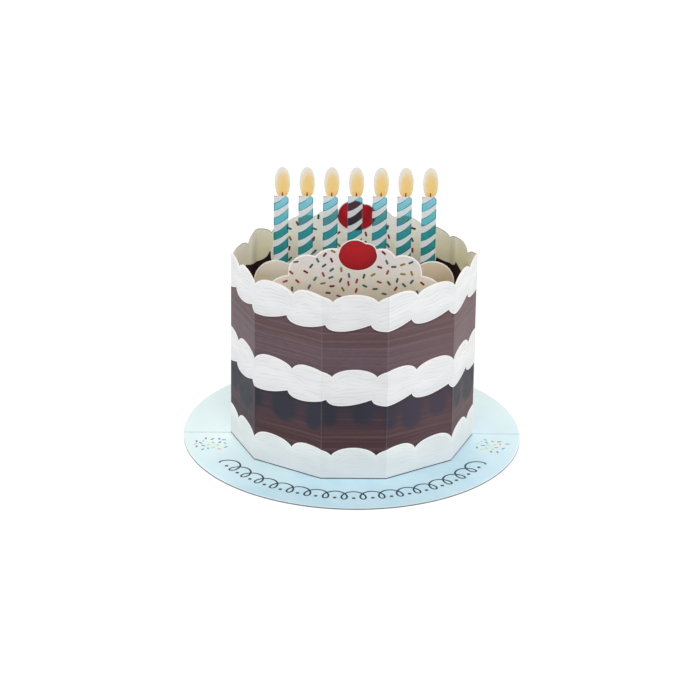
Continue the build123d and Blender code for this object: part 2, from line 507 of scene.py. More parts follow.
@dataclass(frozen=True)
class CrumbFinish(PaperFinish):
    """Chocolate print: level streaks, dark syrup runs and a shadow under the frosting."""

    tooth: float = 0.008
    roughness: float = 0.5
    low: float = 0.0
    high: float = 10.0
    stops: Stops = ()
    streak: str = "#7A6063"
    streak_share: float = 0.4
    syrup: str = "#242937"
    syrup_right: str = "#3B3546"
    syrup_side: str = "#0E1E2A"
    shadow: str = "#2C2226"
    fold: str = "#8C7B7C"
    left_share: float = 0.0
    right_share: float = 0.3

    def colour(self, paint: Paint) -> Socket:
        """Wire the colour of the print.

        Args:
            paint: Shader tree to wire.

        Returns:
            The colour.
        """
        along = paint.read("along")
        drift = paint.noise((0.03, 0.0), 1.0)
        height = paint.plus(paint.read("rise"), paint.remap(drift, 0.3, 0.7, (-0.5, 0.5)))
        ground = paint.ramp(paint.remap(height, self.low, self.high), self.stops)
        streaks = paint.noise((0.014, 0.85))
        grain = paint.noise((0.35, 1.6))
        ends = paint.remap(paint.maths("ABSOLUTE", along), 46.0, 53.0)
        syrup = paint.mix(paint.remap(along, 0.0, 34.0), self.syrup, self.syrup_right)
        layers = (
            (self.streak, paint.remap(streaks, 0.56, 0.70), self.streak_share),
            (self.shadow, paint.remap(streaks, 0.46, 0.34), 0.30),
            (self.shadow, paint.remap(grain, 0.35, 0.7), 0.22),
            (self.syrup_side, paint.remap(along, -46.0, -53.0), self.left_share),
            (self.streak, paint.remap(along, 12.0, 40.0), self.right_share),
            (paint.mix(ends, syrup, self.syrup_side), paint.read("drip"), 0.8),
            (self.shadow, paint.read("shade"), 0.62),
            (self.fold, paint.read("crease"), 0.3),
        )
        for tone, where, share in layers:
            ground = paint.over(ground, tone, where, share)
        return ground


@dataclass(frozen=True)
class BandFinish(PaperFinish):
    """Print whose colour changes with height over the base card, in soft wavy streaks."""

    low: float = 78.0
    high: float = 106.0
    stops: Stops = ()
    streak: str = "#B9A98C"
    streak_share: float = 0.25
    speck: str = "#8E927C"
    speck_share: float = 0.0
    tints: tuple[tuple[float, float, str], ...] = ()

    def colour(self, paint: Paint) -> Socket:
        """Wire the colour of the print.

        Args:
            paint: Shader tree to wire.

        Returns:
            The colour.
        """
        drift = paint.remap(paint.noise((0.06, 0.06)), 0.3, 0.7, (-4.0, 4.0))
        height = paint.plus(paint.read("rise"), drift)
        ground = paint.ramp(paint.remap(height, self.low, self.high), self.stops)
        lines = paint.remap(paint.noise((0.10, 0.55), wobble=0.6), 0.5, 0.72)
        ground = paint.over(ground, self.streak, lines, self.streak_share)
        specks = paint.remap(paint.noise((0.8, 0.8), 4.0), 0.45, 0.75)
        ground = paint.over(ground, self.speck, specks, self.speck_share)
        for start, stop, tint in self.tints:
            share = paint.remap(paint.read("along"), start, stop)
            ground = paint.mix(share, ground, tint, "MULTIPLY")
        return ground


@dataclass(frozen=True)
class CherryFinish(PaperFinish):
    """Glossy red fruit print, deeper towards its foot and its rim."""

    roughness: float = 0.4
    middle: str = "#A8121E"
    mottle: str = "#8C2A2C"
    glint: Point = (0.0, 99.0)

    def colour(self, paint: Paint) -> Socket:
        """Wire the colour of the print.

        Args:
            paint: Shader tree to wire.

        Returns:
            The colour.
        """
        across, up = (paint.minus(paint.read(key), at) for key, at in zip(("along", "rise"), self.glint))
        reach = paint.remap(paint.length(across, up), 2.0, 10.0)
        ground = paint.ramp(reach, ((0.0, self.tone), (0.55, self.middle), (1.0, self.tone_2)))
        return paint.over(ground, self.mottle, paint.remap(paint.noise((0.35, 0.5), 4.0), 0.4, 0.8), 0.3)


@dataclass(frozen=True)
class SkyFinish(PaperFinish):
    """Base card print: pale blue in front, fading to white at the sides and the back."""

    deep: str = "#BADAE7"
    deep_x: float = 50.0

    def colour(self, paint: Paint) -> Socket:
        """Wire the colour of the print.

        Args:
            paint: Shader tree to wire.

        Returns:
            The colour.
        """
        off = paint.maths("ABSOLUTE", paint.minus(paint.read("along"), self.deep_x))
        drift = paint.remap(paint.noise((0.02, 0.02)), 0.3, 0.7, (-12.0, 12.0))
        fade = paint.plus(paint.plus(paint.times(off, 0.43), paint.read("rise")), drift)
        ground = paint.mix(paint.remap(fade, -22.0, 42.0), self.deep, self.tone)
        wash = paint.remap(paint.noise((0.09, 0.06), 4.0), 0.4, 0.75)
        return paint.over(ground, self.tone_2, wash, 0.4)


@dataclass(frozen=True)
class FilmInk(Finish):
    """Translucent ink on clear film, or the bare film itself; its tint may change with height."""

    tints: tuple[str, ...]
    pigment: str
    cover: float
    roughness: float = 0.22
    levels: tuple[float, ...] = (0.0, 0.24, 0.44, 1.0)

    def shader(self, paint: Paint) -> bpy.types.Node:
        """Wire the ink.

        Args:
            paint: Shader tree to wire.

        Returns:
            The shader.
        """
        mottle = paint.noise(700.0)
        tint = paint.ramp(paint.remap(paint.read("rise"), 99.0, 113.0), tuple(zip(self.levels, self.tints)))
        tint = paint.over(tint, darker(self.tints[1], 0.94), paint.remap(mottle, 0.4, 0.8), 0.25)
        ink = paint.mix(paint.remap(mottle, 0.3, 0.7, (0.0, 0.3)), self.pigment, self.tints[-1])
        matt = paint.remap(mottle, 0.2, 0.8, (self.roughness - 0.05, self.roughness + 0.05))
        return paint.film(self.cover, tint, paint.surface(ink, matt, 0.5))


@dataclass(frozen=True)
class FlameFinish(Finish):
    """Flame print on film: a warm core low in a pale halo."""

    stops: Stops
    foot: str = "#E9A548"
    clear: str = "#F4EEE2"
    core: Point = (0.1, 0.30)

    def shader(self, paint: Paint) -> bpy.types.Node:
        """Wire the flame.

        Args:
            paint: Shader tree to wire.

        Returns:
            The shader.
        """
        across = paint.times(paint.minus(paint.read("flame_x"), self.core[0]), 1.1)
        up = paint.times(paint.minus(paint.read("flame_z"), self.core[1]), 1.8)
        flicker = paint.noise(500.0, 2.0)
        reach = paint.plus(paint.length(across, up), paint.remap(flicker, 0.3, 0.7, (-0.06, 0.06)))
        colour = paint.ramp(paint.times(reach, 0.8), self.stops)
        colour = paint.over(colour, self.foot, paint.remap(paint.read("flame_z"), 0.22, 0.02), 0.7)
        solid = paint.surface(colour, paint.remap(flicker, 0.2, 0.8, (0.25, 0.35)), 0.5)
        return paint.film(paint.remap(reach, 0.75, 1.25, (0.93, 0.55)), linear(self.clear), solid)


def seen_rays(paint: Paint) -> Socket:
    """Tell rays that the camera sees, straight or through the film, from those that light.

    Args:
        paint: Shader tree to wire.

    Returns:
        1 for a ray that is seen, 0 for one that only lights.
    """
    rays = paint.node("ShaderNodeLightPath").outputs
    through = paint.maths("MAXIMUM", rays["Is Glossy Ray"], rays["Is Transmission Ray"])
    return paint.maths("MAXIMUM", rays["Is Camera Ray"], through)


@dataclass(frozen=True)
class FloorFinish(Finish):
    """Pale floor that the camera sees as white where no shadow lies."""

    tone: str = "#ABABAB"
    glow: float = 0.68

    def shader(self, paint: Paint) -> bpy.types.Node:
        """Wire the floor.

        Args:
            paint: Shader tree to wire.

        Returns:
            The shader.
        """
        matt = paint.out("ShaderNodeBsdfDiffuse", {"Color": linear(self.tone)})
        glow = paint.out("ShaderNodeEmission", {"Strength": paint.times(seen_rays(paint), self.glow)})
        return paint.node("ShaderNodeAddShader", {0: matt, 1: glow})


FLAME_STOPS = ((0.0, "#EFC766"), (0.45, "#EFCB79"), (0.7, "#EBD3A0"), (0.85, "#E3DAC8"), (1.0, "#D9D9D6"))
WALL_FROSTING = ((0.0, "#E4E5E6"), (0.10, "#EBEBEC"), (0.45, "#F2F2F2"), (0.85, "#F0F0F0"), (1.0, "#F6F5F3"))
FOOT_FROSTING = ((0.0, "#D3D6D8"), (0.25, "#DADDDE"), (0.7, "#E2E5E5"), (1.0, "#EDEEED"))
MOUND_STOPS = ((0.0, "#DED3C1"), (0.30, "#E1DAD1"), (0.50, "#E2DDDB"), (0.72, "#E2DDDC"), (1.0, "#E4DFE3"))
# Painted light: the mound print made lighter for the back mound, which stands in shade behind the candle
# film.
BACK_MOUND_PAINTED_LIGHT_STOPS = ((0.0, "#F5ECD6"), (0.30, "#FBF6E8"), (0.60, "#FEFBF3"), (1.0, "#FEFCF9"))
BED_STOPS = ((0.0, "#E0D3B8"), (0.45, "#E9DDC8"), (0.8, "#EEE5D8"), (1.0, "#F1EBE6"))
INNER_STOPS = ((0.0, "#F2EBCB"), (0.45, "#FCF6D8"), (0.8, "#FDF9E2"), (1.0, "#FDFAEC"))
UPPER_STOPS = (
    *((0.0, "#57434B"), (0.14, "#604D54"), (0.34, "#655159"), (0.48, "#624E54"), (0.51, "#6C575B")),
    *((0.54, "#5B474D"), (0.62, "#584345"), (0.65, "#6C5659"), (0.68, "#5A4347"), (0.78, "#5F474B")),
    *((0.80, "#69545A"), (0.83, "#5E444A"), (1.0, "#63484E")),
)
LOWER_STOPS = (
    *((0.0, "#482F32"), (0.11, "#493033"), (0.14, "#5C4449"), (0.18, "#4A3134"), (0.31, "#4B3235")),
    *((0.34, "#5E464A"), (0.38, "#4A3235"), (0.43, "#563D3E"), (0.48, "#443138"), (0.64, "#403038")),
    *((0.80, "#3D2F37"), (1.0, "#342D36")),
)
SPRINKLES = ("#7E1622", "#96342A", "#3E5A50", "#486468", "#5A6880", "#94822C", "#A0445A", "#46646C")
CONFETTI = ("#6F9BD0", "#DCE47E", "#E88F96", "#F0A868", "#8CC8B0", "#8E7FB0")


class Ink(Enum):
    """Finishes that a face of the card can carry."""

    CUT_EDGE = PaperFinish("cut_edge", "#F7F5EF", "#EFEBE2", 900.0, 0.02, 0.75, 0.2)
    PLAIN_CARD = PaperFinish("plain_card", "#F1F0EC", "#E9E7E1", 40.0, 0.01, 0.7, 0.2)
    FROSTING = FrostingFinish("frosting_print", tone_2="#F5F7F8", stops=WALL_FROSTING)
    FROSTING_FOOT = FrostingFinish("foot_frosting_print", tone_2="#F4F6F6", stops=FOOT_FROSTING)
    EDGE_LINE = PaperFinish("edge_line", "#FBFAF7", "#F6F4F0", 300.0)
    UPPER_CRUMB = CrumbFinish("upper_crumb_print", low=50.0, high=75.0, stops=UPPER_STOPS)
    LOWER_CRUMB = CrumbFinish(
        "lower_crumb_print",
        low=10.0,
        high=40.0,
        stops=LOWER_STOPS,
        gloss=0.2,
        streak="#6A5256",
        left_share=0.42,
    )
    INNER_FROSTING = BandFinish(
        "inner_frosting_print",
        low=70.0,
        high=88.0,
        stops=INNER_STOPS,
        streak="#CDBF9F",
        streak_share=0.08,
        tints=((-50.0, -60.0, "#EFE7D6"), (50.0, 60.0, "#F1E9EC")),
    )
    INNER_CRUMB = PaperFinish("inner_crumb_print", "#2C1413", "#22100F", 90.0, 0.006, 0.5)
    MOUND = BandFinish(
        "mound_print",
        stops=MOUND_STOPS,
        streak="#D2C6A8",
        streak_share=0.22,
        speck_share=0.12,
    )
    # Painted light: the same print as the mound, lightened to make up for the shade behind the candles.
    BACK_MOUND = BandFinish(
        "back_mound_print",
        stops=BACK_MOUND_PAINTED_LIGHT_STOPS,
        streak="#E6DBBE",
        streak_share=0.2,
        speck_share=0.05,
    )
    CANDLE_BED = BandFinish(
        "candle_bed_print",
        low=70.0,
        high=86.0,
        stops=BED_STOPS,
        streak="#C6B592",
        tints=((12.0, 36.0, "#EFE7D6"),),
    )
    CHERRY = CherryFinish("cherry_print", "#B0101E", "#8C1019")
    # Painted light: the same cherry ink, lightened for the back mound, where the cherry stands in more
    # shade.
    BACK_CHERRY_PAINTED_LIGHT = CherryFinish("back_cherry_print", "#DC1A2E", "#BC1824")
    CHERRY_LINE = PaperFinish("cherry_line", "#F3E4E3", "#EBD3D2", 400.0)
    CHERRY_RIM = PaperFinish("cherry_rim", "#7A0F1A", "#690C15", 400.0, roughness=0.4)
    INNER_LINE = PaperFinish("inner_line", "#BDB4A4", "#AEA594", 300.0)
    SKY = SkyFinish("base_print", "#E4F5F4", "#D8EDF1", roughness=0.45, gloss=0.35)
    BASE_RIM = PaperFinish("base_rim_line", "#E9F5F6", "#DDEEF2", 120.0, roughness=0.45, gloss=0.35)
    # Painted shade: the cut edge of the base card is grey for the shade under its rim; the paper core itself
    # is white.
    BOARD_EDGE_SHADE = PaperFinish("board_edge", "#7E898D", "#69757A", 300.0, 0.02, 0.75, 0.1)
    # Painted shadow: a dark strip at the foot of the wall stands for the shade in the gap over the base
    # card.
    FOOT_SHADOW = PaperFinish("foot_line", "#4C4E52", "#3A3C40", 300.0, gloss=0.1)
    # Painted shade: a grey strip that stands for the shade in the score groove across the base card.
    SCORE_SHADE = PaperFinish("score_line", "#C6D5D9", "#B9C9CE", 120.0, roughness=0.45, gloss=0.35)
    GARLAND = PaperFinish("garland_ink", "#26333A", "#303F46", 500.0)
    CLEAR_FILM = FilmInk("clear_film", ("#F9FBFB", "#FBFCFC"), "#FFFFFF", 0.03, 0.12)
    WAX_BLUE = FilmInk("blue_wax_ink", ("#37B3C4", "#63A9BB", "#59B0B3", "#84C1D0"), "#1F838C", 0.08)
    WAX_WHITE = FilmInk("white_wax_ink", ("#DCE4E6", "#E2E8EA"), "#D1D9DB", 0.9, 0.3)
    WAX_LINE = FilmInk("wax_stripe_line", ("#2C7F8E", "#3A8A98", "#4A93A6"), "#256A80", 0.6)
    WAX_TOP = FilmInk("wax_top_shade", ("#C6C4C4", "#CFCCCB"), "#B3AFAE", 0.85)
    FLAME = FlameFinish("flame_ink", FLAME_STOPS)
    WICK = PaperFinish("wick_ink", "#8A5520", "#6E3E16", 900.0)


Field = tuple[Ink, list[Point]]


@cache
def material_of(finish: Finish) -> bpy.types.Material:
    """Return the material of a finish, built the first time."""
    return finish.build()


def mark_row(stem: str, tones: Sequence[str]) -> list[bpy.types.Material]:
    """Make the inks of printed marks that vary in colour.

    Args:
        stem: Start of each material's name.
        tones: Colours as #RRGGBB.

    Returns:
        One material for each tone.
    """
    row = []
    for number, tone in enumerate(tones, 1):
        ink = PaperFinish(f"{stem}_{number}", tone, darker(tone), 700.0, roughness=0.5)
        row.append(material_of(ink))
    return row


# Printed sheets


def ribbon(ink: Ink, line: Sequence[Point], width: float) -> list[Field]:
    """Cover a strip to the left of a line.

    Args:
        ink: Ink of the strip.
        line: Points of the line, in order.
        width: Width of the strip; a negative width lies to the right.

    Returns:
        Counterclockwise triangles in that ink, two for each chord of the line.
    """
    edge = beside(line, width)
    strips = []
    for i in range(len(line) - 1):
        for tri in ([line[i], line[i + 1], edge[i + 1]], [line[i], edge[i + 1], edge[i]]):
            area = signed_area(tri)
            if abs(area) > 1e-4:
                strips.append((ink, tri if area > 0 else tri[::-1]))
    return strips


@dataclass
class Artwork:
    """A die-cut blank with its print: later fields lie over earlier ones."""

    blank: list[Point]
    front: list[Field]
    back: list[Field] = field(default_factory=list)
    guides: list[list[Point]] = field(default_factory=list)
    dots: list[Point] = field(default_factory=list)
    edge: Ink = Ink.CUT_EDGE

    def triangles(self) -> tuple[list[Point], list[tuple[tuple[int, ...], Ink, Ink]]]:
        """Cut the blank into triangles that follow every line of the print.

        Returns:
            The points, and for each triangle its corners and its inks in front and behind.
        """
        fields = [(Ink.PLAIN_CARD, self.blank), *self.front, *self.back]
        points: list[Point] = []
        edges: list[tuple[int, int]] = []
        loops: list[list[int]] = []
        for _, loop in fields:
            loops.append(list(range(len(points), len(points) + len(loop))))
            points += loop if signed_area(loop) > 0 else loop[::-1]
        for line in self.guides:
            first = len(points)
            points += line
            edges += [(i, i + 1) for i in range(first, first + len(line) - 1)]
        points += self.dots
        found = delaunay_2d_cdt([Vector(p) for p in points], edges, loops, 1, 1e-4)
        rows = []
        for corners, owners in zip(found[2], found[5]):
            if 0 in owners:
                fore = max((i for i in owners if i <= len(self.front)), default=0)
                aft = max((i for i in owners if i > len(self.front)), default=0)
                rows.append((tuple(corners), fields[fore][0], fields[aft][0]))
        return [(p.x, p.y) for p in found[0]], rows


def new_piece(name: str, data: bpy.types.ID) -> bpy.types.Object:
    """Add an object to the scene.

    Args:
        name: Name of the object.
        data: Its mesh, or its camera or lamp data.

    Returns:
        The new object.
    """
    piece = bpy.data.objects.new(name, data)
    bpy.context.scene.collection.objects.link(piece)
    return piece


def new_mesh(name: str, spots: Sequence[Spot], faces: Sequence[Sequence[int]]) -> bpy.types.Mesh:
    """Make a mesh.

    Args:
        name: Name of the mesh.
        spots: Its points, in millimetres.
        faces: Its faces, as places in the row of points.

    Returns:
        The new mesh.
    """
    mesh = bpy.data.meshes.new(name)
    mesh.from_pydata([tuple(c * MM for c in spot) for spot in spots], [], faces)
    return mesh


def flat_reads(along: float, rise: float) -> dict[str, float]:
    """Return the flat place, for the finishes to read."""
    return {"along": along, "rise": rise}


def printed_sheet(name: str, art: Artwork, place: Place, reads: Reads = flat_reads) -> bpy.types.Object:
    """Build a sheet with both printed sides and its cut edge.

    Args:
        name: Name of the new piece.
        art: Blank and print.
        place: Where a point of the blank comes to lie, in millimetres, at depth 0 in front and 1 behind.
        reads: Values that the finishes read, by name, at a flat place.

    Returns:
        The new piece.
    """
    points, rows = art.triangles()
    used = sorted({i for corners, _, _ in rows for i in corners})
    order = {old: new for new, old in enumerate(used)}
    flat = [points[i] for i in used]
    count = len(flat)
    inks: list[Ink] = []
    faces: list[tuple[int, ...]] = []
    rims: dict[tuple[int, int], None] = {}
    for corners, fore, aft in rows:
        a, b, c = (order[i] for i in corners)
        faces += [(a, b, c), (c + count, b + count, a + count)]
        inks += [fore, aft]
        rims |= dict.fromkeys(((a, b), (b, c), (c, a)))
    for a, b in rims:
        if (b, a) not in rims:
            faces.append((b, a, a + count, b + count))
            inks.append(art.edge)
    mesh = new_mesh(name, [place(u, v, side) for side in (0.0, 1.0) for u, v in flat], faces)
    palette = sorted(set(inks), key=attrgetter("name"))
    for ink in palette:
        mesh.materials.append(material_of(ink.value))
    mesh.polygons.foreach_set("material_index", [palette.index(ink) for ink in inks])
    values = [reads(u, v) for u, v in flat]
    for key in values[0]:
        layer = mesh.attributes.new(key, "FLOAT", "POINT")
        layer.data.foreach_set("value", [row[key] for row in values] * 2)
    mesh.validate()
    mesh.update()
    return new_piece(name, mesh)


def dress(node: str, slot: str, piece: bpy.types.Object, *extras: bpy.types.Object) -> None:
    """Put a finished piece in the place of its CAD node.

    Args:
        node: Name of the node.
        slot: Not used.
        piece: Finished piece.
        extras: Pieces whose meshes become part of it.
    """
    if extras:
        several = [piece, *extras]
        with bpy.context.temp_override(active_object=piece, object=piece, selected_editable_objects=several):
            bpy.ops.object.join()
    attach(piece, "root")
    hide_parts(node)
    LOG.info("%s: %d faces, %d inks", piece.name, len(piece.data.polygons), len(piece.data.materials))


# Geometry Nodes


class GrowTree(Graph):
    """A Geometry Nodes tree with named inputs, for what repeats."""

    def __init__(self, name: str, **kinds: str) -> None:
        """Start a tree that takes a mesh and gives a mesh.

        Args:
            name: Name of the tree.
            kinds: Socket kind of each named input.
        """
        super().__init__(bpy.data.node_groups.new(name, "GeometryNodeTree"))
        self.keys: dict[str, str] = {}
        face = self.tree.interface
        for way in ("INPUT", "OUTPUT"):
            face.new_socket("Geometry", in_out=way, socket_type="NodeSocketGeometry")
        for key, kind in kinds.items():
            label = key.replace("_", " ").capitalize()
            made = face.new_socket(label, in_out="INPUT", socket_type=f"NodeSocket{kind}")
            self.keys[key] = made.identifier
        self.given = self.node("NodeGroupInput").outputs

    def axes(self) -> tuple[Socket, Sequence[Socket]]:
        """Return the place of a point, whole and as its three parts."""
        here = self.out("GeometryNodeInputPosition")
        return here, self.node("ShaderNodeSeparateXYZ", {0: here}).outputs

    def join(self, *shapes: Socket) -> Socket:
        """Join several shapes.

        Args:
            shapes: Shapes, in their order.

        Returns:
            All of them as one shape.
        """
        whole = self.node("GeometryNodeJoinGeometry")
        for shape in shapes:
            self.tree.links.new(shape, whole.inputs[0])
        return whole.outputs[0]

    def weld(self, shape: Socket, reach: float = 2e-6) -> Socket:
        """Return a shape whose points nearer than a reach, in metres, are one."""
        return self.out("GeometryNodeMergeByDistance", {0: shape, "Distance": reach})

    def paint_by_mark(self, shape: Socket, materials: Sequence[bpy.types.Material]) -> Socket:
        """Give each face the material that its mark attribute counts to.

        Args:
            shape: Shape with the marks.
            materials: Materials, counted from 0.

        Returns:
            The painted shape.
        """
        marked = self.node("GeometryNodeInputNamedAttribute", {"Name": "mark"}, data_type="INT")
        for number, material in enumerate(materials):
            match = {2: marked.outputs["Attribute"], 3: number}
            same = self.out("FunctionNodeCompare", match, data_type="INT", operation="EQUAL")
            values = {"Geometry": shape, "Selection": same, "Material": material}
            shape = self.out("GeometryNodeSetMaterial", values)
        return shape

    def grow(
        self, name: str, start: bpy.types.Mesh, shape: Socket, lengths: Sequence[float], **plain: float
    ) -> bpy.types.Object:
        """Run the tree on a mesh and keep the plain result.

        Args:
            name: Name of the new piece.
            start: Mesh that goes into the tree.
            shape: Shape that the tree gives.
            lengths: Value of each named input that isn't given by name, in order, in millimetres.
            plain: Value of each other named input, as it is.

        Returns:
            A piece that holds the result, with no modifier left.
        """
        self.node("NodeGroupOutput", {0: shape})
        piece = new_piece(name, start)
        modifier = piece.modifiers.new("grow", "NODES")
        modifier.node_group = self.tree
        named = [key for key in self.keys if key not in plain]
        for key, value in {**dict(zip(named, (k * MM for k in lengths), strict=True)), **plain}.items():
            modifier[self.keys[key]] = value
        piece.update_tag()
        graph = bpy.context.evaluated_depsgraph_get()
        result = piece.evaluated_get(graph)
        mesh = bpy.data.meshes.new_from_object(result, preserve_all_data_layers=True, depsgraph=graph)
        piece.modifiers.clear()
        piece.data = mesh
        return piece


@dataclass(frozen=True)
class Strewing:
    """Printed dashes strewn over both sides of a flat sheet, in millimetres."""

    name: str
    stem: str
    tones: tuple[str, ...]
    spacing: float
    size: tuple[float, float, float]
    seed: int
    most: float = 4.0e5
    cell: float = 1.0

    def patch(self, sides: Sequence[Sequence[Point]], place: Place) -> bpy.types.Mesh:
        """Make square faces that face outward from the sheet, as ground for the dashes.

        Args:
            sides: Middles of the squares in front, and then behind.
            place: Rule that places a point of the sheet.

        Returns:
            The new mesh.
        """
        spots: list[Spot] = []
        faces: list[list[int]] = []
        half = self.cell / 2
        for side, cells in enumerate(sides):
            for x, y in cells:
                ring = list(range(len(spots), len(spots) + 4))
                faces.append(ring[::-1] if side else ring)
                spots += [place(u, v, side) for u, v in box_field(x - half, y - half, x + half, y + half)]
        return new_mesh(f"{self.name}_patch", spots, faces)

    def build(self, sides: Sequence[Sequence[Point]], place: Place) -> bpy.types.Object:
        """Strew the dashes.

        Args:
            sides: Middles of the squares that they may lie on in front, and then behind.
            place: Rule that places a point of the sheet.

        Returns:
            The dashes.
        """
        kinds = dict.fromkeys(("spacing", "length", "width", "lift"), "Float")
        tree = GrowTree(self.name, **kinds, seed="Int")
        ground, spacing, length, width, lift, seed = tree.given[:6]
        spread = tree.node(
            "GeometryNodeDistributePointsOnFaces",
            {"Mesh": ground, "Distance Min": spacing, "Density Max": self.most, "Seed": seed},
            distribute_method="POISSON",
        ).outputs
        disc = tree.out("GeometryNodeMeshCircle", {"Vertices": 10, "Radius": 0.5}, fill_type="NGON")
        here, parts = tree.axes()
        reach = tree.times(tree.minus(length, width), 0.5)
        shift = tree.vector(tree.times(tree.maths("SIGN", parts[0]), reach))
        wide = tree.out("ShaderNodeVectorMath", {0: here, "Scale": width}, operation="SCALE")
        target = tree.out("ShaderNodeVectorMath", {0: wide, 1: shift}, operation="ADD")
        dash = tree.out("GeometryNodeSetPosition", {"Geometry": disc, "Position": target})
        raised = {"Mesh": dash, "Offset Scale": lift, "Individual": False}
        raised = tree.out("GeometryNodeExtrudeMesh", raised, mode="FACES")
        shell = tree.weld(tree.join(raised, tree.out("GeometryNodeFlipFaces", {"Mesh": dash})), 1e-6)
        strewn = {"Points": spread["Points"], "Instance": shell, "Rotation": spread["Rotation"]}
        strewn = tree.out("GeometryNodeInstanceOnPoints", strewn)
        spin = tree.node("FunctionNodeRandomValue", {2: 0.0, 3: math.tau, "Seed": seed}, data_type="FLOAT")
        turn = {"Instances": strewn, "Rotation": tree.vector(0.0, 0.0, spin.outputs[1])}
        last = len(self.tones) - 1
        pick = tree.node("FunctionNodeRandomValue", {4: 0, 5: last, "Seed": 7}, data_type="INT")
        turned = tree.out("GeometryNodeRotateInstances", turn)
        marks = {"Geometry": turned, "Name": "mark", "Value": pick.outputs[2]}
        stored = tree.out("GeometryNodeStoreNamedAttribute", marks, data_type="INT", domain="INSTANCE")
        real = tree.out("GeometryNodeRealizeInstances", {0: stored})
        shape = tree.paint_by_mark(real, mark_row(self.stem, self.tones))
        lengths = (self.spacing, *self.size)
        return tree.grow(self.name, self.patch(sides, place), shape, lengths, seed=self.seed)


# Cake wall


@dataclass(frozen=True)
class Band:
    """One band of frosting on the flat wall, in millimetres over the base card."""

    valley: float = 0.0
    rise: float = 0.0
    cusp: float = 0.0
    low: float = 0.0
    first_cusp: float = 0.0
    pitch: float = 19.8
    lean: float = 2.6

    def crest(self, valleys: Sequence[float] = (), leans: Sequence[float] = ()) -> list[Point]:
        """Draw the scalloped upper edge.

        Args:
            valleys: Where its valleys lie along the wall; none for one scallop a pitch.
            leans: How far each peak leans to the right.

        Returns:
            The edge, from left to right.
        """
        if not valleys:
            valleys = [(k - 0.5) * self.pitch for k in range(-5, 7)]
            leans = [self.lean * ((0 < k < 4) - (-4 < k < 0)) for k in range(-5, 6)]
        line: list[Point] = []
        for start, stop, lean in zip(valleys, valleys[1:], leans):
            ends = [(start, self.valley), (stop, self.valley)]
            peak = ((start + stop) / 2 + lean, self.valley + self.rise)
            soft = [(peak[0] + 0.5 * (end[0] - peak[0]), peak[1]) for end in ends]
            steep = [(end[0] + 0.12 * (peak[0] - end[0]), end[1] + 0.55 * self.rise) for end in ends]
            line += bezier(ends[0], steep[0], soft[0], peak)
            line += bezier(peak, soft[1], steep[1], ends[1])
        return line

    def swag(self) -> list[Point]:
        """Draw the lower edge: steep after each cusp, then long and flat.

        Returns:
            The edge, from left to right.
        """
        line: list[Point] = []
        deep = self.cusp - self.low
        for k in range(-6, 6):
            start = self.first_cusp + k * self.pitch
            end = start + self.pitch
            bottom = (start + 7.0, self.low)
            steep = (start + 0.8, self.cusp - 0.75 * deep)
            line += bezier((start, self.cusp), steep, (start + 3.2, self.low), bottom)
            long = (end - 2.5, self.cusp - 0.32 * deep)
            line += bezier(bottom, (start + 12.0, self.low), long, (end, self.cusp))
        return line


@dataclass(frozen=True)
class SyrupRun:
    """One run of syrup on the lower tier: its two sides along the wall and its lower end."""

    left: float
    right: float
    foot: float
    halo: float = 1.3
    fade: float = 2.2

    def cover(self, along: float, rise: float) -> float:
        """Tell how much ink of the run a place takes.

        Args:
            along: Place along the wall.
            rise: Height over the base card.

        Returns:
            The share, from 0 to 1.
        """
        half = (self.right - self.left) / 2
        across = abs(along - (self.left + self.right) / 2)
        drop = max(0.0, self.foot + half - rise)
        return min(1.0, max(0.0, (half + self.halo - math.hypot(across, drop)) / self.fade))


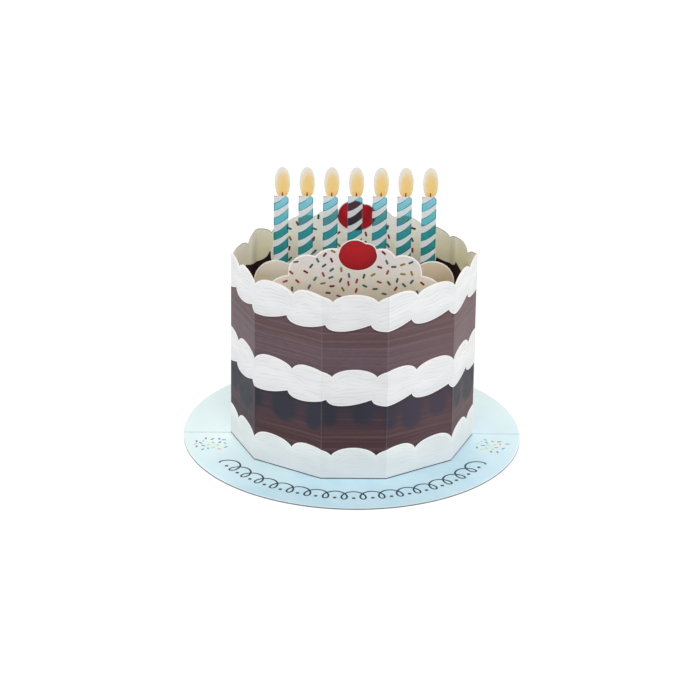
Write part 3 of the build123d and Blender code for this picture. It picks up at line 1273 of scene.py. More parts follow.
@dataclass(frozen=True)
class CakeWall:
    """Folded half walls of the cake, printed on both sides."""

    base: float = 0.6
    card: float = 0.4
    pitch: float = 19.8
    front_half: float = 14.4
    turn_1: float = math.radians(33.0)
    turn_2: float = math.radians(68.7)
    top: Band = Band(84.8, 3.5, 74.2, 71.0, 6.7)
    middle: Band = Band(49.4, 3.5, 38.4, 35.4, 7.5)
    foot: Band = Band(11.4, 3.8)
    inner: Band = Band(cusp=75.8, low=72.4, first_cusp=3.0)
    back_valleys: tuple[float, ...] = (-89.1, -69.3, -49.5, -31.3, -13.1, 5.1, 23.3, 41.5, 60.1, 81.0)
    back_leans: tuple[float, ...] = (-2.0, -4.0, 0.0, 0.0, 0.0, 0.0, 0.0, 0.0, 2.0)
    flap: float = 8.0
    inset: float = 4.0
    print_high: float = 95.0
    tiers: tuple[float, float, float] = (30.0, 45.0, 60.0)
    # Height of the painted shadow strip at the foot of the wall.
    foot_shadow_height: float = 0.45
    top_line: float = 0.5
    crest_line: float = 0.4
    swag_line: float = 0.35
    score_half: float = 0.45
    score_top: float = 90.0
    print_past: float = 1.0
    shadow: float = 2.0
    shadow_step: float = 0.7
    syrup_foot: float = 31.5
    syrup_fade: float = 4.5
    fills: tuple[Spot, ...] = ((20.0, 38.0, 0.9), (1.5, 14.0, 2.2), (38.0, 53.0, 2.2), (70.0, 88.0, 2.2))
    runs: tuple[SyrupRun, ...] = (
        SyrupRun(-80.5, -70.8, 25.5),
        SyrupRun(-71.0, -51.8, 21.5),
        SyrupRun(-49.6, -45.6, 27.0),
        SyrupRun(-39.9, -27.8, 23.5),
        SyrupRun(-21.9, -14.6, 23.0),
        SyrupRun(-13.6, -7.6, 26.0),
        SyrupRun(-0.4, 8.0, 26.5),
        SyrupRun(13.0, 19.4, 24.0),
        SyrupRun(22.6, 32.3, 21.5),
        SyrupRun(37.2, 45.7, 25.0),
        SyrupRun(49.8, 61.0, 24.0),
        SyrupRun(62.5, 78.0, 21.5),
    )

    @property
    def reach(self) -> float:
        """Return the flat distance from the front middle to the far fold of the right end panel."""
        return 4 * self.pitch - self.card / (2 * math.sin(self.turn_2) * math.cos(self.turn_2))

    def edges(self, own: bool) -> list[list[Point]]:
        """Draw the edges of the printed bands.

        Args:
            own: Whether it is the back wall, with its own scallops.

        Returns:
            The upper edges of the three bands, from the top, and the lower edges of the first two.
        """
        top = self.top.crest(self.back_valleys, self.back_leans) if own else self.top.crest()
        return [top, self.middle.crest(), self.foot.crest(), self.top.swag(), self.middle.swag()]

    def plan(self, depth: float) -> list[Point]:
        """Return the folds of the wall seen from above.

        Args:
            depth: How far inside the outer face, in millimetres.

        Returns:
            The corner of every fold and both ends, from left to right.
        """
        panel_2 = 2.5 * self.pitch - self.front_half
        panel_3 = 1.5 * self.pitch
        turns = [-self.turn_2, -self.turn_1, 0.0, self.turn_1, self.turn_2, math.pi - self.turn_2]
        lengths = [panel_3, panel_2, 2 * self.front_half, panel_2, self.reach - 2.5 * self.pitch, self.flap]
        x = -self.front_half - panel_2 * math.cos(self.turn_1) - panel_3 * math.cos(self.turn_2)
        corners = [(x, 0.0)]
        for turn, length in zip(turns, lengths):
            x, y = corners[-1]
            corners.append((x + length * math.cos(turn), y + length * math.sin(turn)))
        moved = []
        for (x, y), before, after in zip(corners, [turns[0], *turns], [*turns, turns[-1]]):
            mean = (before + after) / 2
            out = depth / math.cos(mean - before)
            moved.append((x - out * math.sin(mean), y + out * math.cos(mean)))
        return moved

    def folds(self) -> list[float]:
        """Return the flat place of both ends and of every fold, from left to right."""
        near, far = self.front_half, 2.5 * self.pitch
        return [-4 * self.pitch, -far, -near, near, far, self.reach, self.reach + self.flap]

    def placer(self, turned: bool) -> Place:
        """Make the folding rule of a half wall.

        Args:
            turned: Whether it is the half at the back.

        Returns:
            The rule that places a point of the blank.
        """
        stops, plans = self.folds(), (self.plan(0.0), self.plan(self.card))
        flip = -1.0 if turned else 1.0

        def place(along: float, rise: float, depth: float) -> Spot:
            """Fold a point of the blank.

            Args:
                along: Place along the wall.
                rise: Height over the base card.
                depth: 0 on the outer face and 1 on the inner one.

            Returns:
                Where the point comes to lie.
            """
            i = max(j for j in range(len(stops) - 1) if stops[j] <= along + 1e-6 or j == 0)
            share = (along - stops[i]) / (stops[i + 1] - stops[i])
            a, b = plans[round(depth)][i : i + 2]
            x, y = a[0] + share * (b[0] - a[0]), a[1] + share * (b[1] - a[1])
            height = self.base + max(rise, 0.0)
            if rise <= 0.0 and abs(along) <= self.front_half - self.inset + 1e-6:
                y += max(0.0, -rise - self.card * depth)
                height = self.base + self.card * depth
            return (flip * x, flip * y, height)

        return place

    def blank(self, top: Sequence[Point]) -> list[Point]:
        """Draw the outline of the flat half wall with its glue flaps.

        Args:
            top: Scalloped top edge, from left to right.

        Returns:
            The outline.
        """
        near, inset = self.front_half - self.inset, self.inset
        tall = self.top.valley
        end, tip = self.reach, self.reach + self.flap
        foot = [(-near, 0.0), (inset - near, -self.flap), (near - inset, -self.flap), (near, 0.0)]
        side = [(end, 0.0), (end, inset), (tip, 2 * inset), (tip, tall - 2 * inset), (end, tall - inset)]
        return [(-4 * self.pitch, 0.0), *foot, *side, *trimmed(top, -4 * self.pitch, end)[::-1]]

    def artwork(self, own: bool) -> Artwork:
        """Draw the blank with the print of both sides.

        Args:
            own: Whether it is the back wall, with its own scallops.

        Returns:
            The blank and its print.
        """
        left, right = -4 * self.pitch - self.print_past, self.reach
        edges = self.edges(own)
        top, mid, low, top_swag, mid_swag = (trimmed(line, left, right) for line in edges)
        inner = trimmed(self.inner.swag(), left, right)
        sky = [(right, self.print_high), (left, self.print_high)]
        front = [
            (Ink.UPPER_CRUMB, box_field(left, 0.0, right, self.print_high)),
            (Ink.LOWER_CRUMB, box_field(left, 0.0, right, self.tiers[1])),
            (Ink.FROSTING, [*top_swag, *sky]),
            (Ink.FROSTING, [*mid_swag, *mid[::-1]]),
            (Ink.FROSTING_FOOT, [(left, 0.0), (right, 0.0), *low[::-1]]),
        ]
        for line, width in ((top, self.top_line), (mid, self.crest_line), (low, self.crest_line)):
            front += ribbon(Ink.EDGE_LINE, line, -width)
        for line in (top_swag, mid_swag):
            front += ribbon(Ink.EDGE_LINE, line, self.swag_line)
        # Painted shadow along the foot of the wall, where it stands on the base card.
        front.append((Ink.FOOT_SHADOW, box_field(left, 0.0, right, self.foot_shadow_height)))
        back = [(Ink.INNER_CRUMB, box_field(left, 0.0, right, self.print_high))]
        back.append((Ink.INNER_FROSTING, [*inner, *sky]))
        back += ribbon(Ink.INNER_LINE, top, -self.swag_line)
        near = self.front_half - self.inset
        guides = [[(-near, 0.0), (near, 0.0)]]
        for fold in self.folds()[1:-1]:
            guides.append([(fold, -self.print_past), (fold, self.print_high)])
            sides = [fold + way * self.score_half for way in (-1, 1) if fold < right]
            guides += [[(side, 0.0), (side, self.score_top)] for side in sides]
        for line in (top_swag, mid_swag):
            guides += [[(x, z - drop) for x, z in line] for drop in (self.shadow_step, self.shadow)]
        dots = []
        for low_z, high_z, step in self.fills:
            rows, columns = int((high_z - low_z) / step), int((right - left) / step)
            dots += [(left + i * step, low_z + j * step) for i in range(1, columns) for j in range(rows)]
        return Artwork(self.blank(edges[0]), front, back, guides, dots)

    def reader(self, own: bool) -> Reads:
        """Make the rule for the values that the prints of the wall read.

        Args:
            own: Whether it is the back wall, with its own scallops.

        Returns:
            The rule.
        """
        edges = self.edges(own)
        creases = self.folds()[1:-2]

        def reads(along: float, rise: float) -> dict[str, float]:
            """Tell what the prints read at a flat place.

            Args:
                along: Place along the wall.
                rise: Height over the base card.

            Returns:
                The place, its height in its band, and its share of shadow, crease and syrup.
            """
            crest, swag = edges[:3], [*edges[3:], [(0.0, 0.0)]]
            tier = 0 if rise > self.tiers[2] else 1 if rise > self.tiers[0] else 2
            low, high = level_at(swag[tier], along), level_at(crest[tier], along)
            gap = level_at(swag[min(tier, 1)], along) - rise
            shade = max(0.0, 0.75 - gap / 2.4) if 0.0 < gap < self.shadow else 0.0
            under = min(0.9, max(0.0, (rise - self.syrup_foot) / self.syrup_fade))
            drip = max(under, *(run.cover(along, rise) for run in self.runs)) if rise < 40.0 else 0.0
            return {
                "along": along,
                "rise": rise,
                "lobe": min(1.0, max(0.0, (rise - low) / max(high - low, 1e-6))),
                "shade": 1.0 if abs(gap) <= 0.05 else shade,
                "crease": float(any(abs(along - fold) < 0.05 for fold in creases)),
                "drip": drip,
            }

        return reads

    def build(self) -> None:
        """Build both half walls."""
        for node, turned in (("front_wall", False), ("back_wall", True)):
            rules = self.placer(turned), self.reader(turned)
            dress(node, "printed_card", printed_sheet(f"{node}_card", self.artwork(turned), *rules))


# Inner sheets


@dataclass(frozen=True)
class UprightSheet:
    """Flat frosting sheet that stands parallel to the score line."""

    node: str
    front: float
    ink: Ink
    half: float
    shoulder: float
    line: float
    rise: float = 0.0
    foot: float = 24.0
    base: float = 0.6
    card: float = 0.4
    print_half: float = 60.0
    print_low: float = 20.0
    print_high: float = 115.0

    def place(self, along: float, rise: float, depth: float) -> Spot:
        """Return where a point of the flat sheet stands."""
        return (along, self.front + self.card * depth, self.base + rise)

    def reads(self, along: float, rise: float) -> dict[str, float]:
        """Return the flat place before the print is raised."""
        return flat_reads(along, rise - self.rise)

    def scallops(self, corners: Sequence[Point], bulges: Sequence[float]) -> list[Point]:
        """Return the arcs from corner to corner, with the last corner."""
        arcs = [arc(*ends) for ends in zip(corners, corners[1:], bulges)]
        return [*sum(arcs, []), corners[-1]]

    def blank(self, top: Sequence[Point]) -> list[Point]:
        """Return the outline of the sheet under a top edge that runs from left to right."""
        return [(-self.half, self.foot), (self.half, self.foot), *top[::-1]]

    def sheet(
        self, top: Sequence[Point], lined: Sequence[list[Point]], extra: list[Field]
    ) -> bpy.types.Object:
        """Build the printed sheet.

        Args:
            top: Its top edge, from left to right.
            lined: Parts of that edge that carry a white line.
            extra: Fields that lie over its ground.

        Returns:
            The sheet.
        """
        ground = box_field(-self.print_half, self.print_low, self.print_half, self.print_high)
        fields = [(self.ink, ground)]
        for line in lined:
            fields += ribbon(Ink.EDGE_LINE, line, -self.line)
        art = Artwork(self.blank(top), fields + extra, fields + extra)
        return printed_sheet(f"{self.node}_card", art, self.place, self.reads)


@dataclass(frozen=True)
class CherryMound(UprightSheet):
    """Frosting sheet with the cherry and its sprinkles."""

    ink: Ink = Ink.MOUND
    half: float = 40.0
    shoulder: float = 77.0
    line: float = 0.5
    fruit: Ink = Ink.CHERRY
    reach: float = 0.0
    seed: int = 1
    spacing: float = 3.6
    gaps: float = 0.0
    dash: tuple[float, float, float] = (2.45, 1.0, 0.02)
    low_valley: Point = (29.2, 86.5)
    side_valley: Point = (17.5, 95.5)
    top_end: float = 98.9
    bulges: tuple[float, float, float] = (2.3, 4.4, 1.7)
    cherry_x: float = 1.1
    cherry_half: float = 8.1
    dimple: Point = (4.6, 101.8)
    cherry_bulges: Point = (3.1, 0.9)
    cherry_foot: float = 89.1
    cherry_swell: float = 0.3
    cherry_cap: float = 1.4
    cherry_high: float = 112.0
    margin: float = 1.6
    cell: float = 1.0
    slit: float = 0.16

    def frosting_edge(self, side: float) -> list[Point]:
        """Draw the scalloped edge on one side of the cherry.

        Args:
            side: -1 for the left and 1 for the right.

        Returns:
            The edge, from left to right.
        """
        corners = [
            (side * self.half, self.shoulder),
            (side * (self.low_valley[0] + self.reach), self.low_valley[1] + self.rise),
            (side * self.side_valley[0], self.side_valley[1] + self.rise),
            (self.cherry_x + side * self.cherry_half, self.top_end + self.rise),
        ]
        way = 1 if side < 0 else -1
        return self.scallops(corners[::way], self.bulges[::way])

    def cherry(self, crown: Sequence[Point], grow: float, drop: float) -> list[Point]:
        """Return a field of the cherry.

        Args:
            crown: Upper edge of the cherry.
            grow: How far its sides and foot stand out from the fruit.
            drop: How far its top lies under the crown; 0 leaves it open over the sheet.

        Returns:
            The loop of the field.
        """
        wide = self.cherry_half + self.cherry_swell + grow
        middle = (self.cherry_foot + self.dimple[1] + self.cherry_cap) / 2 + self.rise
        tall = middle - self.cherry_foot - self.rise + grow
        turns = [math.pi + math.pi * i / 32 for i in range(33)]
        lower = [(self.cherry_x + wide * math.cos(t), middle + tall * math.sin(t)) for t in turns]
        if drop > 0.0:
            return [*lower, *beside(crown, -drop)[::-1]]
        return [*lower, *[(self.cherry_x + x, self.cherry_high) for x in (wide, -wide)]]

    def build(self) -> None:
        """Build the sheet with its sprinkles."""
        left, right = self.frosting_edge(-1.0), self.frosting_edge(1.0)
        dimple = (self.dimple[0], self.dimple[1] + self.rise)
        crown = self.scallops([left[-1], dimple, right[0]], self.cherry_bulges)
        top = [*left[:-1], *crown[:-1], *right]
        hole = self.cherry(crown, 0.5, 0.0)
        fields = [(Ink.CHERRY_LINE, hole), (Ink.CHERRY_RIM, self.cherry(crown, 0.0, 0.4))]
        fields.append((self.fruit, self.cherry(crown, -0.35, 0.7)))
        piece = self.sheet(top, (left, right), fields)
        clear = inset_cells(self.blank(top), hole, self.margin, self.cell)
        fore = [(x, y) for x, y in clear if not self.gaps or abs(x / self.gaps % 1.0 - 0.5) < self.slit]
        name = f"{self.node}_sprinkles"
        dashes = Strewing(name, "sprinkle_ink", SPRINKLES, self.spacing, self.dash, self.seed)
        dress(self.node, "frosting_card", piece, dashes.build((fore, clear), self.place))


@dataclass(frozen=True)
class CandleBed(UprightSheet):
    """Frosting sheet in front of the candles."""

    node: str = "candle_mound"
    front: float = -0.2
    ink: Ink = Ink.CANDLE_BED
    half: float = 44.5
    shoulder: float = 75.0
    line: float = 0.45
    valley: float = 82.9
    lobe: float = 14.55
    end_bulge: float = 5.2
    bulge: float = 2.4

    def build(self) -> None:
        """Build the sheet."""
        knots = [(k * self.lobe, self.valley) for k in (-2, -1, 0, 1, 2)]
        corners = [(-self.half, self.shoulder), *knots, (self.half, self.shoulder)]
        top = self.scallops(corners, [self.end_bulge, *[self.bulge] * 4, self.end_bulge])
        dress(self.node, "frosting_card", self.sheet(top, (top,), []))


@dataclass(frozen=True)
class CandleComb:
    """Clear film with a row of printed candles, cut as one comb."""

    base: float = 0.6
    count: int = 7
    pitch: float = 10.85
    width: float = 6.5
    top: float = 115.3
    corner: float = 1.5
    foot: float = 66.0
    strip: float = 80.0
    front: float = 0.2
    film: float = 0.25
    flame_width: float = 6.9
    flame_height: float = 14.1
    neck: float = 3.4
    sink: float = 0.4
    shift: float = 0.5
    stripe_pitch: float = 7.0
    stripe: float = 3.8
    stripe_rise: float = 4.8
    stripe_slack: float = 0.9
    stripe_top: float = 111.9
    stripe_line_width: float = 0.34
    stripe_past: float = 8.0
    neck_slack: float = 0.05
    flame_past: float = 2.0
    flame_high: float = 132.0

    INKS = (Ink.CLEAR_FILM, Ink.WAX_WHITE, Ink.WAX_BLUE, Ink.WAX_LINE, Ink.WAX_TOP, Ink.FLAME, Ink.WICK)

    def flame(self) -> list[Point]:
        """Draw the flame over a candle, without its neck.

        Returns:
            The outline of the flame.
        """
        low, tip = self.top - self.sink, self.top - self.sink + self.flame_height
        handles = [(self.flame_width * 0.65, 0.26), (self.flame_width * 0.56, 1.0)]
        a, b = [(x, low + self.flame_height * h) for x, h in handles]
        right = bezier((self.neck / 2, low), a, b, (0.0, tip), 12)
        left = bezier((0.0, tip), (-b[0], b[1]), (-a[0], a[1]), (-self.neck / 2, low), 12)
        return [(x + self.shift, z) for x, z in [*right, *left, (-self.neck / 2, low)]]

    def module(self) -> list[Point]:
        """Draw one candle with its share of the joining strip.

        Returns:
            The outline.
        """
        side, edge, neck = self.width / 2, self.pitch / 2, self.neck / 2 + self.neck_slack
        middle = (side - self.corner, self.top - self.corner)
        turns = [i * math.pi / 12 for i in range(7)]
        wax = [(middle[0] + self.corner * math.cos(t), middle[1] + self.corner * math.sin(t)) for t in turns]
        flame = [p for p in self.flame() if p[1] > self.top]
        right = [(edge, self.foot), (edge, self.strip), (side, self.strip), *wax]
        left = [(-side, self.top), (-side, self.strip), (-edge, self.strip), (-edge, self.foot)]
        return [*right, (self.shift + neck, self.top), *flame, (self.shift - neck, self.top), *left]

    def stripe_line(self, start: float, rise: float) -> list[Point]:
        """Draw the edge of a stripe, which climbs to the right.

        Args:
            start: Height of its left end.
            rise: How far it climbs.

        Returns:
            The edge, from left to right.
        """
        steps = [i / 10 for i in range(11)]
        return [(self.width * (t - 0.5), start + rise * t**1.6) for t in steps]

    def fields(self) -> list[Field]:
        """Draw the print of one candle.

        Returns:
            Inks and outlines, later ones over earlier ones.
        """
        side, neck = self.width / 2, self.neck / 2
        fields = [(Ink.WAX_WHITE, box_field(-side, self.foot, side, self.top))]
        shade = [(-side, self.top - 0.8), (self.shift - neck + 0.4, self.top), (-side, self.top)]
        fields.append((Ink.WAX_TOP, shade))
        start = self.stripe_top
        while start > self.foot - self.stripe_past:
            upper = self.stripe_line(start, self.stripe_rise)
            lower = self.stripe_line(start - self.stripe, self.stripe_rise - self.stripe_slack)
            fields.append((Ink.WAX_LINE, [*lower, *upper[::-1]]))
            shrink = 1 - self.stripe_line_width / side
            inner = [(x * shrink, z + self.stripe_line_width) for x, z in lower]
            outer = [(x * shrink, z - self.stripe_line_width) for x, z in upper]
            fields.append((Ink.WAX_BLUE, [*inner, *outer[::-1]]))
            start -= self.stripe_pitch
        far = side + self.flame_past
        fields.append((Ink.FLAME, box_field(-far, self.top, far, self.flame_high)))
        x, z = self.shift, self.top - self.sink + 0.3
        wick = [(x - 0.35, z), (x + 0.35, z), (x + 0.3, z + 1.5), (x + 0.05, z + 2.0), (x - 0.3, z + 1.4)]
        return [*fields, (Ink.WICK, wick)]

    def seed_mesh(self) -> bpy.types.Mesh:
        """Build one flat candle at the back of the film, facing the front.

        Returns:
            The mesh, with its ink marks.
        """
        points, rows = Artwork(self.module(), self.fields()).triangles()
        spots = [(x, self.front + self.film, z + self.base) for x, z in points]
        mesh = new_mesh("candle", spots, [row[0] for row in rows])
        marks = [self.INKS.index(fore) if fore in self.INKS else 0 for _, fore, _ in rows]
        mesh.attributes.new("mark", "INT", "FACE").data.foreach_set("value", marks)
        low = self.top - self.sink
        values = {
            "rise": [z for _, z in points],
            "flame_x": [2 * (x - self.shift) / self.flame_width for x, _ in points],
            "flame_z": [(z - low) / self.flame_height for _, z in points],
        }
        for key, row in values.items():
            mesh.attributes.new(key, "FLOAT", "POINT").data.foreach_set("value", row)
        return mesh

    def build(self) -> None:
        """Set the candles in a row, trim the strip and give the film its thickness."""
        kinds = dict.fromkeys(("pitch", "film", "half_row", "top"), "Float")
        tree = GrowTree("candle_comb", **kinds, count="Int")
        candle, pitch, film, half_row, top, count = tree.given[:6]
        first = tree.vector(tree.times(tree.times(tree.minus(count, 1.0), pitch), -0.5))
        row = {"Count": count, "Start Location": first, "Offset": tree.vector(pitch)}
        row = tree.out("GeometryNodeMeshLine", row)
        stood = tree.out("GeometryNodeInstanceOnPoints", {"Points": row, "Instance": candle})
        welded = tree.weld(tree.out("GeometryNodeRealizeInstances", {0: stood}))
        axes = tree.axes()[1]
        far = tree.times(tree.maths("ABSOLUTE", axes[0]), tree.maths("LESS_THAN", axes[2], top))
        cut = {"Geometry": welded, "Selection": tree.maths("GREATER_THAN", far, half_row)}
        flat = tree.out("GeometryNodeDeleteGeometry", cut, domain="FACE", mode="ALL")
        lift = {"Mesh": flat, "Offset Scale": film, "Individual": False}
        thick = tree.node("GeometryNodeExtrudeMesh", lift).outputs
        turned = tree.out("GeometryNodeFlipFaces", {"Mesh": flat})
        clear = []
        for shape, where in ((thick[0], thick["Side"]), (turned, True)):
            bare = {"Geometry": shape, "Selection": where, "Name": "mark", "Value": 0}
            clear.append(tree.out("GeometryNodeStoreNamedAttribute", bare, data_type="INT", domain="FACE"))
        inks = [material_of(ink.value) for ink in self.INKS]
        shape = tree.paint_by_mark(tree.weld(tree.join(*clear)), inks)
        row_half = ((self.count - 1) * self.pitch + self.width) / 2
        lengths = (self.pitch, self.film, row_half, self.base + self.top)
        piece = tree.grow("candle_film_comb", self.seed_mesh(), shape, lengths, count=self.count)
        dress("candle_film", "clear_film", piece)


# Base card


@dataclass(frozen=True)
class BaseCard:
    """Round base card, scored across, with a garland and confetti in front."""

    radius: float = 76.0
    board: float = 0.6
    score: float = 0.8
    deep: float = 0.25
    rim: float = 0.6
    garland_radius: float = 63.2
    garland_swing: float = 3.7
    garland_waves: int = 17
    garland_half_angle: float = math.radians(62.0)
    stroke: float = 0.85
    wave_points: float = 24.0
    curl: float = 0.8
    dot_height: float = 0.7
    flatness: float = 0.03
    confetti_at: Point = (63.0, -12.5)
    confetti_half: Point = (8.0, 6.5)
    confetti_rim: float = 3.0

    def ring(self, radius: float, steps: int = 192) -> list[Point]:
        """Return a circle round the middle."""
        turns = [math.tau * (i + 0.5) / steps for i in range(steps)]
        return [(radius * math.cos(t), radius * math.sin(t)) for t in turns]

    def place(self, across: float, along: float, depth: float) -> Spot:
        """Return where a point of the board lies."""
        dip = self.deep * (depth < 0.5 and abs(along) < 1e-4)
        return (across, along, self.board * (1 - depth) - dip)

    def garland(self) -> bpy.types.Object:
        """Grow the waved line with its dots along an arc in front of the wall.

        Returns:
            The garland.
        """
        kinds = dict.fromkeys(("radius", "swing", "stroke", "lift", "half_angle"), "Float")
        tree = GrowTree("garland", **kinds, waves="Int")
        radius, swing, stroke, lift, half_angle, waves = tree.given[1:7]
        times, plus = tree.times, tree.plus

        def on_arc(shape: Socket, angle: Socket, out: Socket) -> Socket:
            """Move the points of a shape to an angle and a radius round the middle.

            Args:
                shape: Shape whose points move.
                angle: Angle of each point, from the front.
                out: Radius of each point.

            Returns:
                The moved shape.
            """
            x = times(tree.maths("SINE", angle), out)
            y = times(tree.maths("COSINE", angle), times(out, -1.0))
            moved = {"Geometry": shape, "Position": tree.vector(x, y, lift)}
            return tree.out("GeometryNodeSetPosition", moved)

        def turned(share: Socket) -> Socket:
            """Return the angle at a share of the way along the garland."""
            return times(tree.minus(times(share, 2.0), 1.0), half_angle)

        steps = times(waves, self.wave_points)
        line = tree.out("GeometryNodeMeshLine", {"Count": plus(steps, 1.0)})
        index = tree.out("GeometryNodeInputIndex")
        share = tree.maths("DIVIDE", index, steps)
        phase = times(times(share, waves), math.tau)
        out = plus(radius, times(tree.maths("COSINE", phase), swing))
        swirl = tree.maths("DIVIDE", times(swing, -self.curl), radius)
        curl = plus(turned(share), times(tree.maths("SINE", phase), swirl))
        curve = tree.out("GeometryNodeMeshToCurve", {0: on_arc(line, curl, out)})
        pen = tree.out("GeometryNodeCurvePrimitiveCircle", {"Resolution": 6, "Radius": 0.5})
        drawn = {"Curve": curve, "Profile Curve": pen, "Scale": stroke, "Fill Caps": True}
        marks = tree.out("GeometryNodeMeshLine", {"Count": waves})
        spot = turned(tree.maths("DIVIDE", plus(index, 0.5), waves))
        marks = on_arc(marks, spot, plus(radius, times(swing, self.dot_height)))
        drop = tree.out("GeometryNodeMeshIcoSphere", {"Radius": stroke, "Subdivisions": 2})
        strewn = tree.out("GeometryNodeInstanceOnPoints", {"Points": marks, "Instance": drop})
        both = tree.join(tree.out("GeometryNodeCurveToMesh", drawn), strewn)
        real = tree.out("GeometryNodeRealizeInstances", {0: both})
        axes = tree.axes()[1]
        level = plus(lift, times(tree.minus(axes[2], lift), self.flatness))
        flat = {"Geometry": real, "Position": tree.vector(axes[0], axes[1], level)}
        pressed = tree.out("GeometryNodeSetPosition", flat)
        ink = {"Geometry": pressed, "Material": material_of(Ink.GARLAND.value)}
        shape = tree.out("GeometryNodeSetMaterial", ink)
        lengths = (self.garland_radius, self.garland_swing, self.stroke, self.board + 0.01)
        plain = {"half_angle": self.garland_half_angle, "waves": self.garland_waves}
        seed = bpy.data.meshes.new("garland_seed")
        return tree.grow("base_garland", seed, shape, lengths, **plain)

    def confetti(self) -> bpy.types.Object:
        """Strew the pastel confetti at both ends of the garland.

        Returns:
            The confetti.
        """
        cells = []
        wide, deep = self.confetti_half
        far = self.radius - self.confetti_rim
        for side in (-1, 1):
            for i in range(-8, 9):
                for j in range(-6, 7):
                    x, y = side * self.confetti_at[0] + i, self.confetti_at[1] + j
                    if (i / wide) ** 2 + (j / deep) ** 2 < 1 and math.hypot(x, y) < far:
                        cells.append((x, y))
        marks = Strewing("base_confetti", "confetti_ink", CONFETTI, 2.3, (2.0, 0.9, 0.02), 5)
        return marks.build((cells,), self.place)

    def build(self) -> None:
        """Build the board with its print."""
        ring = self.ring(self.radius)
        half, far = self.score / 2, self.radius + 4.0
        fields = [(Ink.SKY, self.ring(self.radius + 2.0))]
        fields += ribbon(Ink.BASE_RIM, [*ring, ring[0]], self.rim)
        # Painted shade in the score groove.
        fields.append((Ink.SCORE_SHADE, box_field(-far, -half, far, half)))
        guides = [[(-far, y), (far, y)] for y in (-half, 0.0, half)]
        # The cut edge carries the grey painted shade.
        art = Artwork(ring, fields, guides=guides, edge=Ink.BOARD_EDGE_SHADE)
        piece = printed_sheet("base_card_board", art, self.place)
        dress("base_card", "base_board", piece, self.garland(), self.confetti())


# Spacers, camera and studio


@dataclass(frozen=True)
class Spacers:
    """The folded paper spacers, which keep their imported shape."""

    nodes: dict[str, bpy.types.Object]

    def build(self) -> None:
        """Give every spacer its paper."""
        for name, piece in self.nodes.items():
            if name.startswith("spacer_"):
                piece.data.materials.clear()
                piece.data.materials.append(material_of(Ink.PLAIN_CARD.value))
                LOG.info("%s: packed shape in plain card", name)


@dataclass(frozen=True)
class PhotoCamera:
    """Camera at the angle of the photograph, its distances in metres."""

    pixels: float = 3693.0
    frame: float = 700.0
    sensor: float = 36.0
    away: float = 1.6716
    pitch: float = math.radians(25.59)
    yaw: float = math.radians(1.10)
    roll: float = math.radians(0.842)
    seen: Point = (351.8, 433.0)
    height: float = 0.0006

    def build(self) -> None:
        """Make the camera and use it."""
        data = bpy.data.cameras.new("photo_camera")
        data.sensor_width = self.sensor
        data.lens = self.pixels / self.frame * self.sensor
        data.clip_start, data.clip_end = 0.05, 50.0
        camera = new_piece("photo_camera", data)
        level = math.cos(self.pitch)
        back = Vector((-level * math.sin(self.yaw), -level * math.cos(self.yaw), math.sin(self.pitch)))
        right = Vector((math.cos(self.yaw), -math.sin(self.yaw), 0.0))
        right = Matrix.Rotation(self.roll, 3, back) @ right
        axes = Matrix((right, back.cross(right), back)).transposed()
        swing, lift = (math.atan((place - self.frame / 2) / self.pixels) for place in self.seen)
        axes = axes @ Matrix.Rotation(lift, 3, "X") @ Matrix.Rotation(swing, 3, "Y")
        spot = back * self.away + Vector((0, 0, self.height))
        camera.matrix_world = Matrix.Translation(spot) @ axes.to_4x4()
        bpy.context.scene.camera = camera


@dataclass(frozen=True)
class Lamp:
    """Square soft lamp that shines at the card.

    Its azimuth runs in degrees to the right of the front and its height in degrees over the floor.
    Its size is in metres, and its level is the share of its own colour that a white card facing
    the lamp gets from it.
    """

    name: str
    azimuth: float
    height: float
    size: float
    level: float
    reach: float = 2.0
    aim_height: float = 0.05

    def build(self) -> None:
        """Hang the lamp."""
        data = bpy.data.lights.new(self.name, "AREA")
        data.size, data.energy = self.size, self.level * (math.pi * self.reach) ** 2
        turn, lift = math.radians(self.azimuth), math.radians(self.height)
        aim = Vector((math.sin(turn) * math.cos(lift), -math.cos(turn) * math.cos(lift), math.sin(lift)))
        lamp = new_piece(self.name, data)
        lamp.location = aim * self.reach + Vector((0, 0, self.aim_height))
        lamp.rotation_euler = aim.to_track_quat("Z", "Y").to_euler()


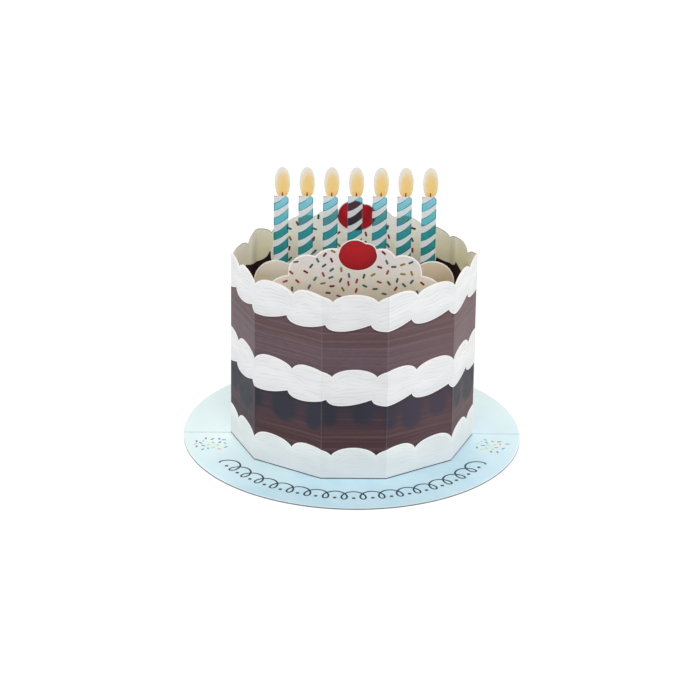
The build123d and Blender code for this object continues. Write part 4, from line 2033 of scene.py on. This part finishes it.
@dataclass(frozen=True)
class Studio:
    """Pale floor and soft light."""

    floor: float = 6.0
    sky: float = 0.40
    lamps: tuple[Lamp, ...] = (
        Lamp("left_light", -72.0, 18.0, 1.2, 0.485),
        Lamp("right_light", 72.0, 18.0, 1.2, 0.55),
        Lamp("front_light", 0.0, 52.0, 1.4, 0.38),
        Lamp("back_light", 180.0, 40.0, 1.4, 0.22),
        Lamp("top_light", 0.0, 89.0, 1.4, 0.05),
    )

    def build(self) -> None:
        """Make the floor, the lamps and the world."""
        scene = bpy.context.scene
        scene.view_settings.view_transform = "Standard"
        half = self.floor / 2 / MM
        ground = [(x, y, 0.0) for x, y in box_field(-half, -half, half, half)]
        floor = new_piece("floor", new_mesh("floor", ground, [(0, 1, 2, 3)]))
        floor.data.materials.append(FloorFinish("pale_floor").build())
        floor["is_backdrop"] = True
        for lamp in self.lamps:
            lamp.build()
        scene.world = bpy.data.worlds.new("studio")
        scene.world.use_nodes = True
        paint = Paint(scene.world.node_tree)
        strength = paint.remap(seen_rays(paint), 0.0, 1.0, (self.sky, 1.0))
        sky = paint.out("ShaderNodeBackground", {"Color": linear("#FFFFFF"), "Strength": strength})
        paint.node("ShaderNodeOutputWorld", {"Surface": sky})


def corners() -> list[list[float]]:
    """Return the box of the shown object as two plain lists."""
    return [[float(c) for c in corner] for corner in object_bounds()]


def main() -> None:
    """Build every piece of the card in order."""
    logging.basicConfig(level=logging.INFO, format="%(name)s: %(message)s")
    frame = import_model()
    # The back mound gets the lightened mound print and cherry, which are painted light.
    back_mound = CherryMound(
        "back_mound",
        20.8,
        Ink.BACK_MOUND,
        half=36.2,
        shoulder=74.0,
        rise=1.5,
        reach=3.8,
        fruit=Ink.BACK_CHERRY_PAINTED_LIGHT,
        seed=4,
        spacing=3.9,
        gaps=10.85,
    )
    stage = (PhotoCamera(), Studio())
    sheets = (CherryMound("front_mound", -21.2), CandleBed(), CandleComb(), back_mound)
    for part in (*stage, BaseCard(), CakeWall(), *sheets, Spacers(frame["nodes"])):
        part.build()
        LOG.info("%s: built", type(part).__name__)


if __name__ == "__main__":
    main()
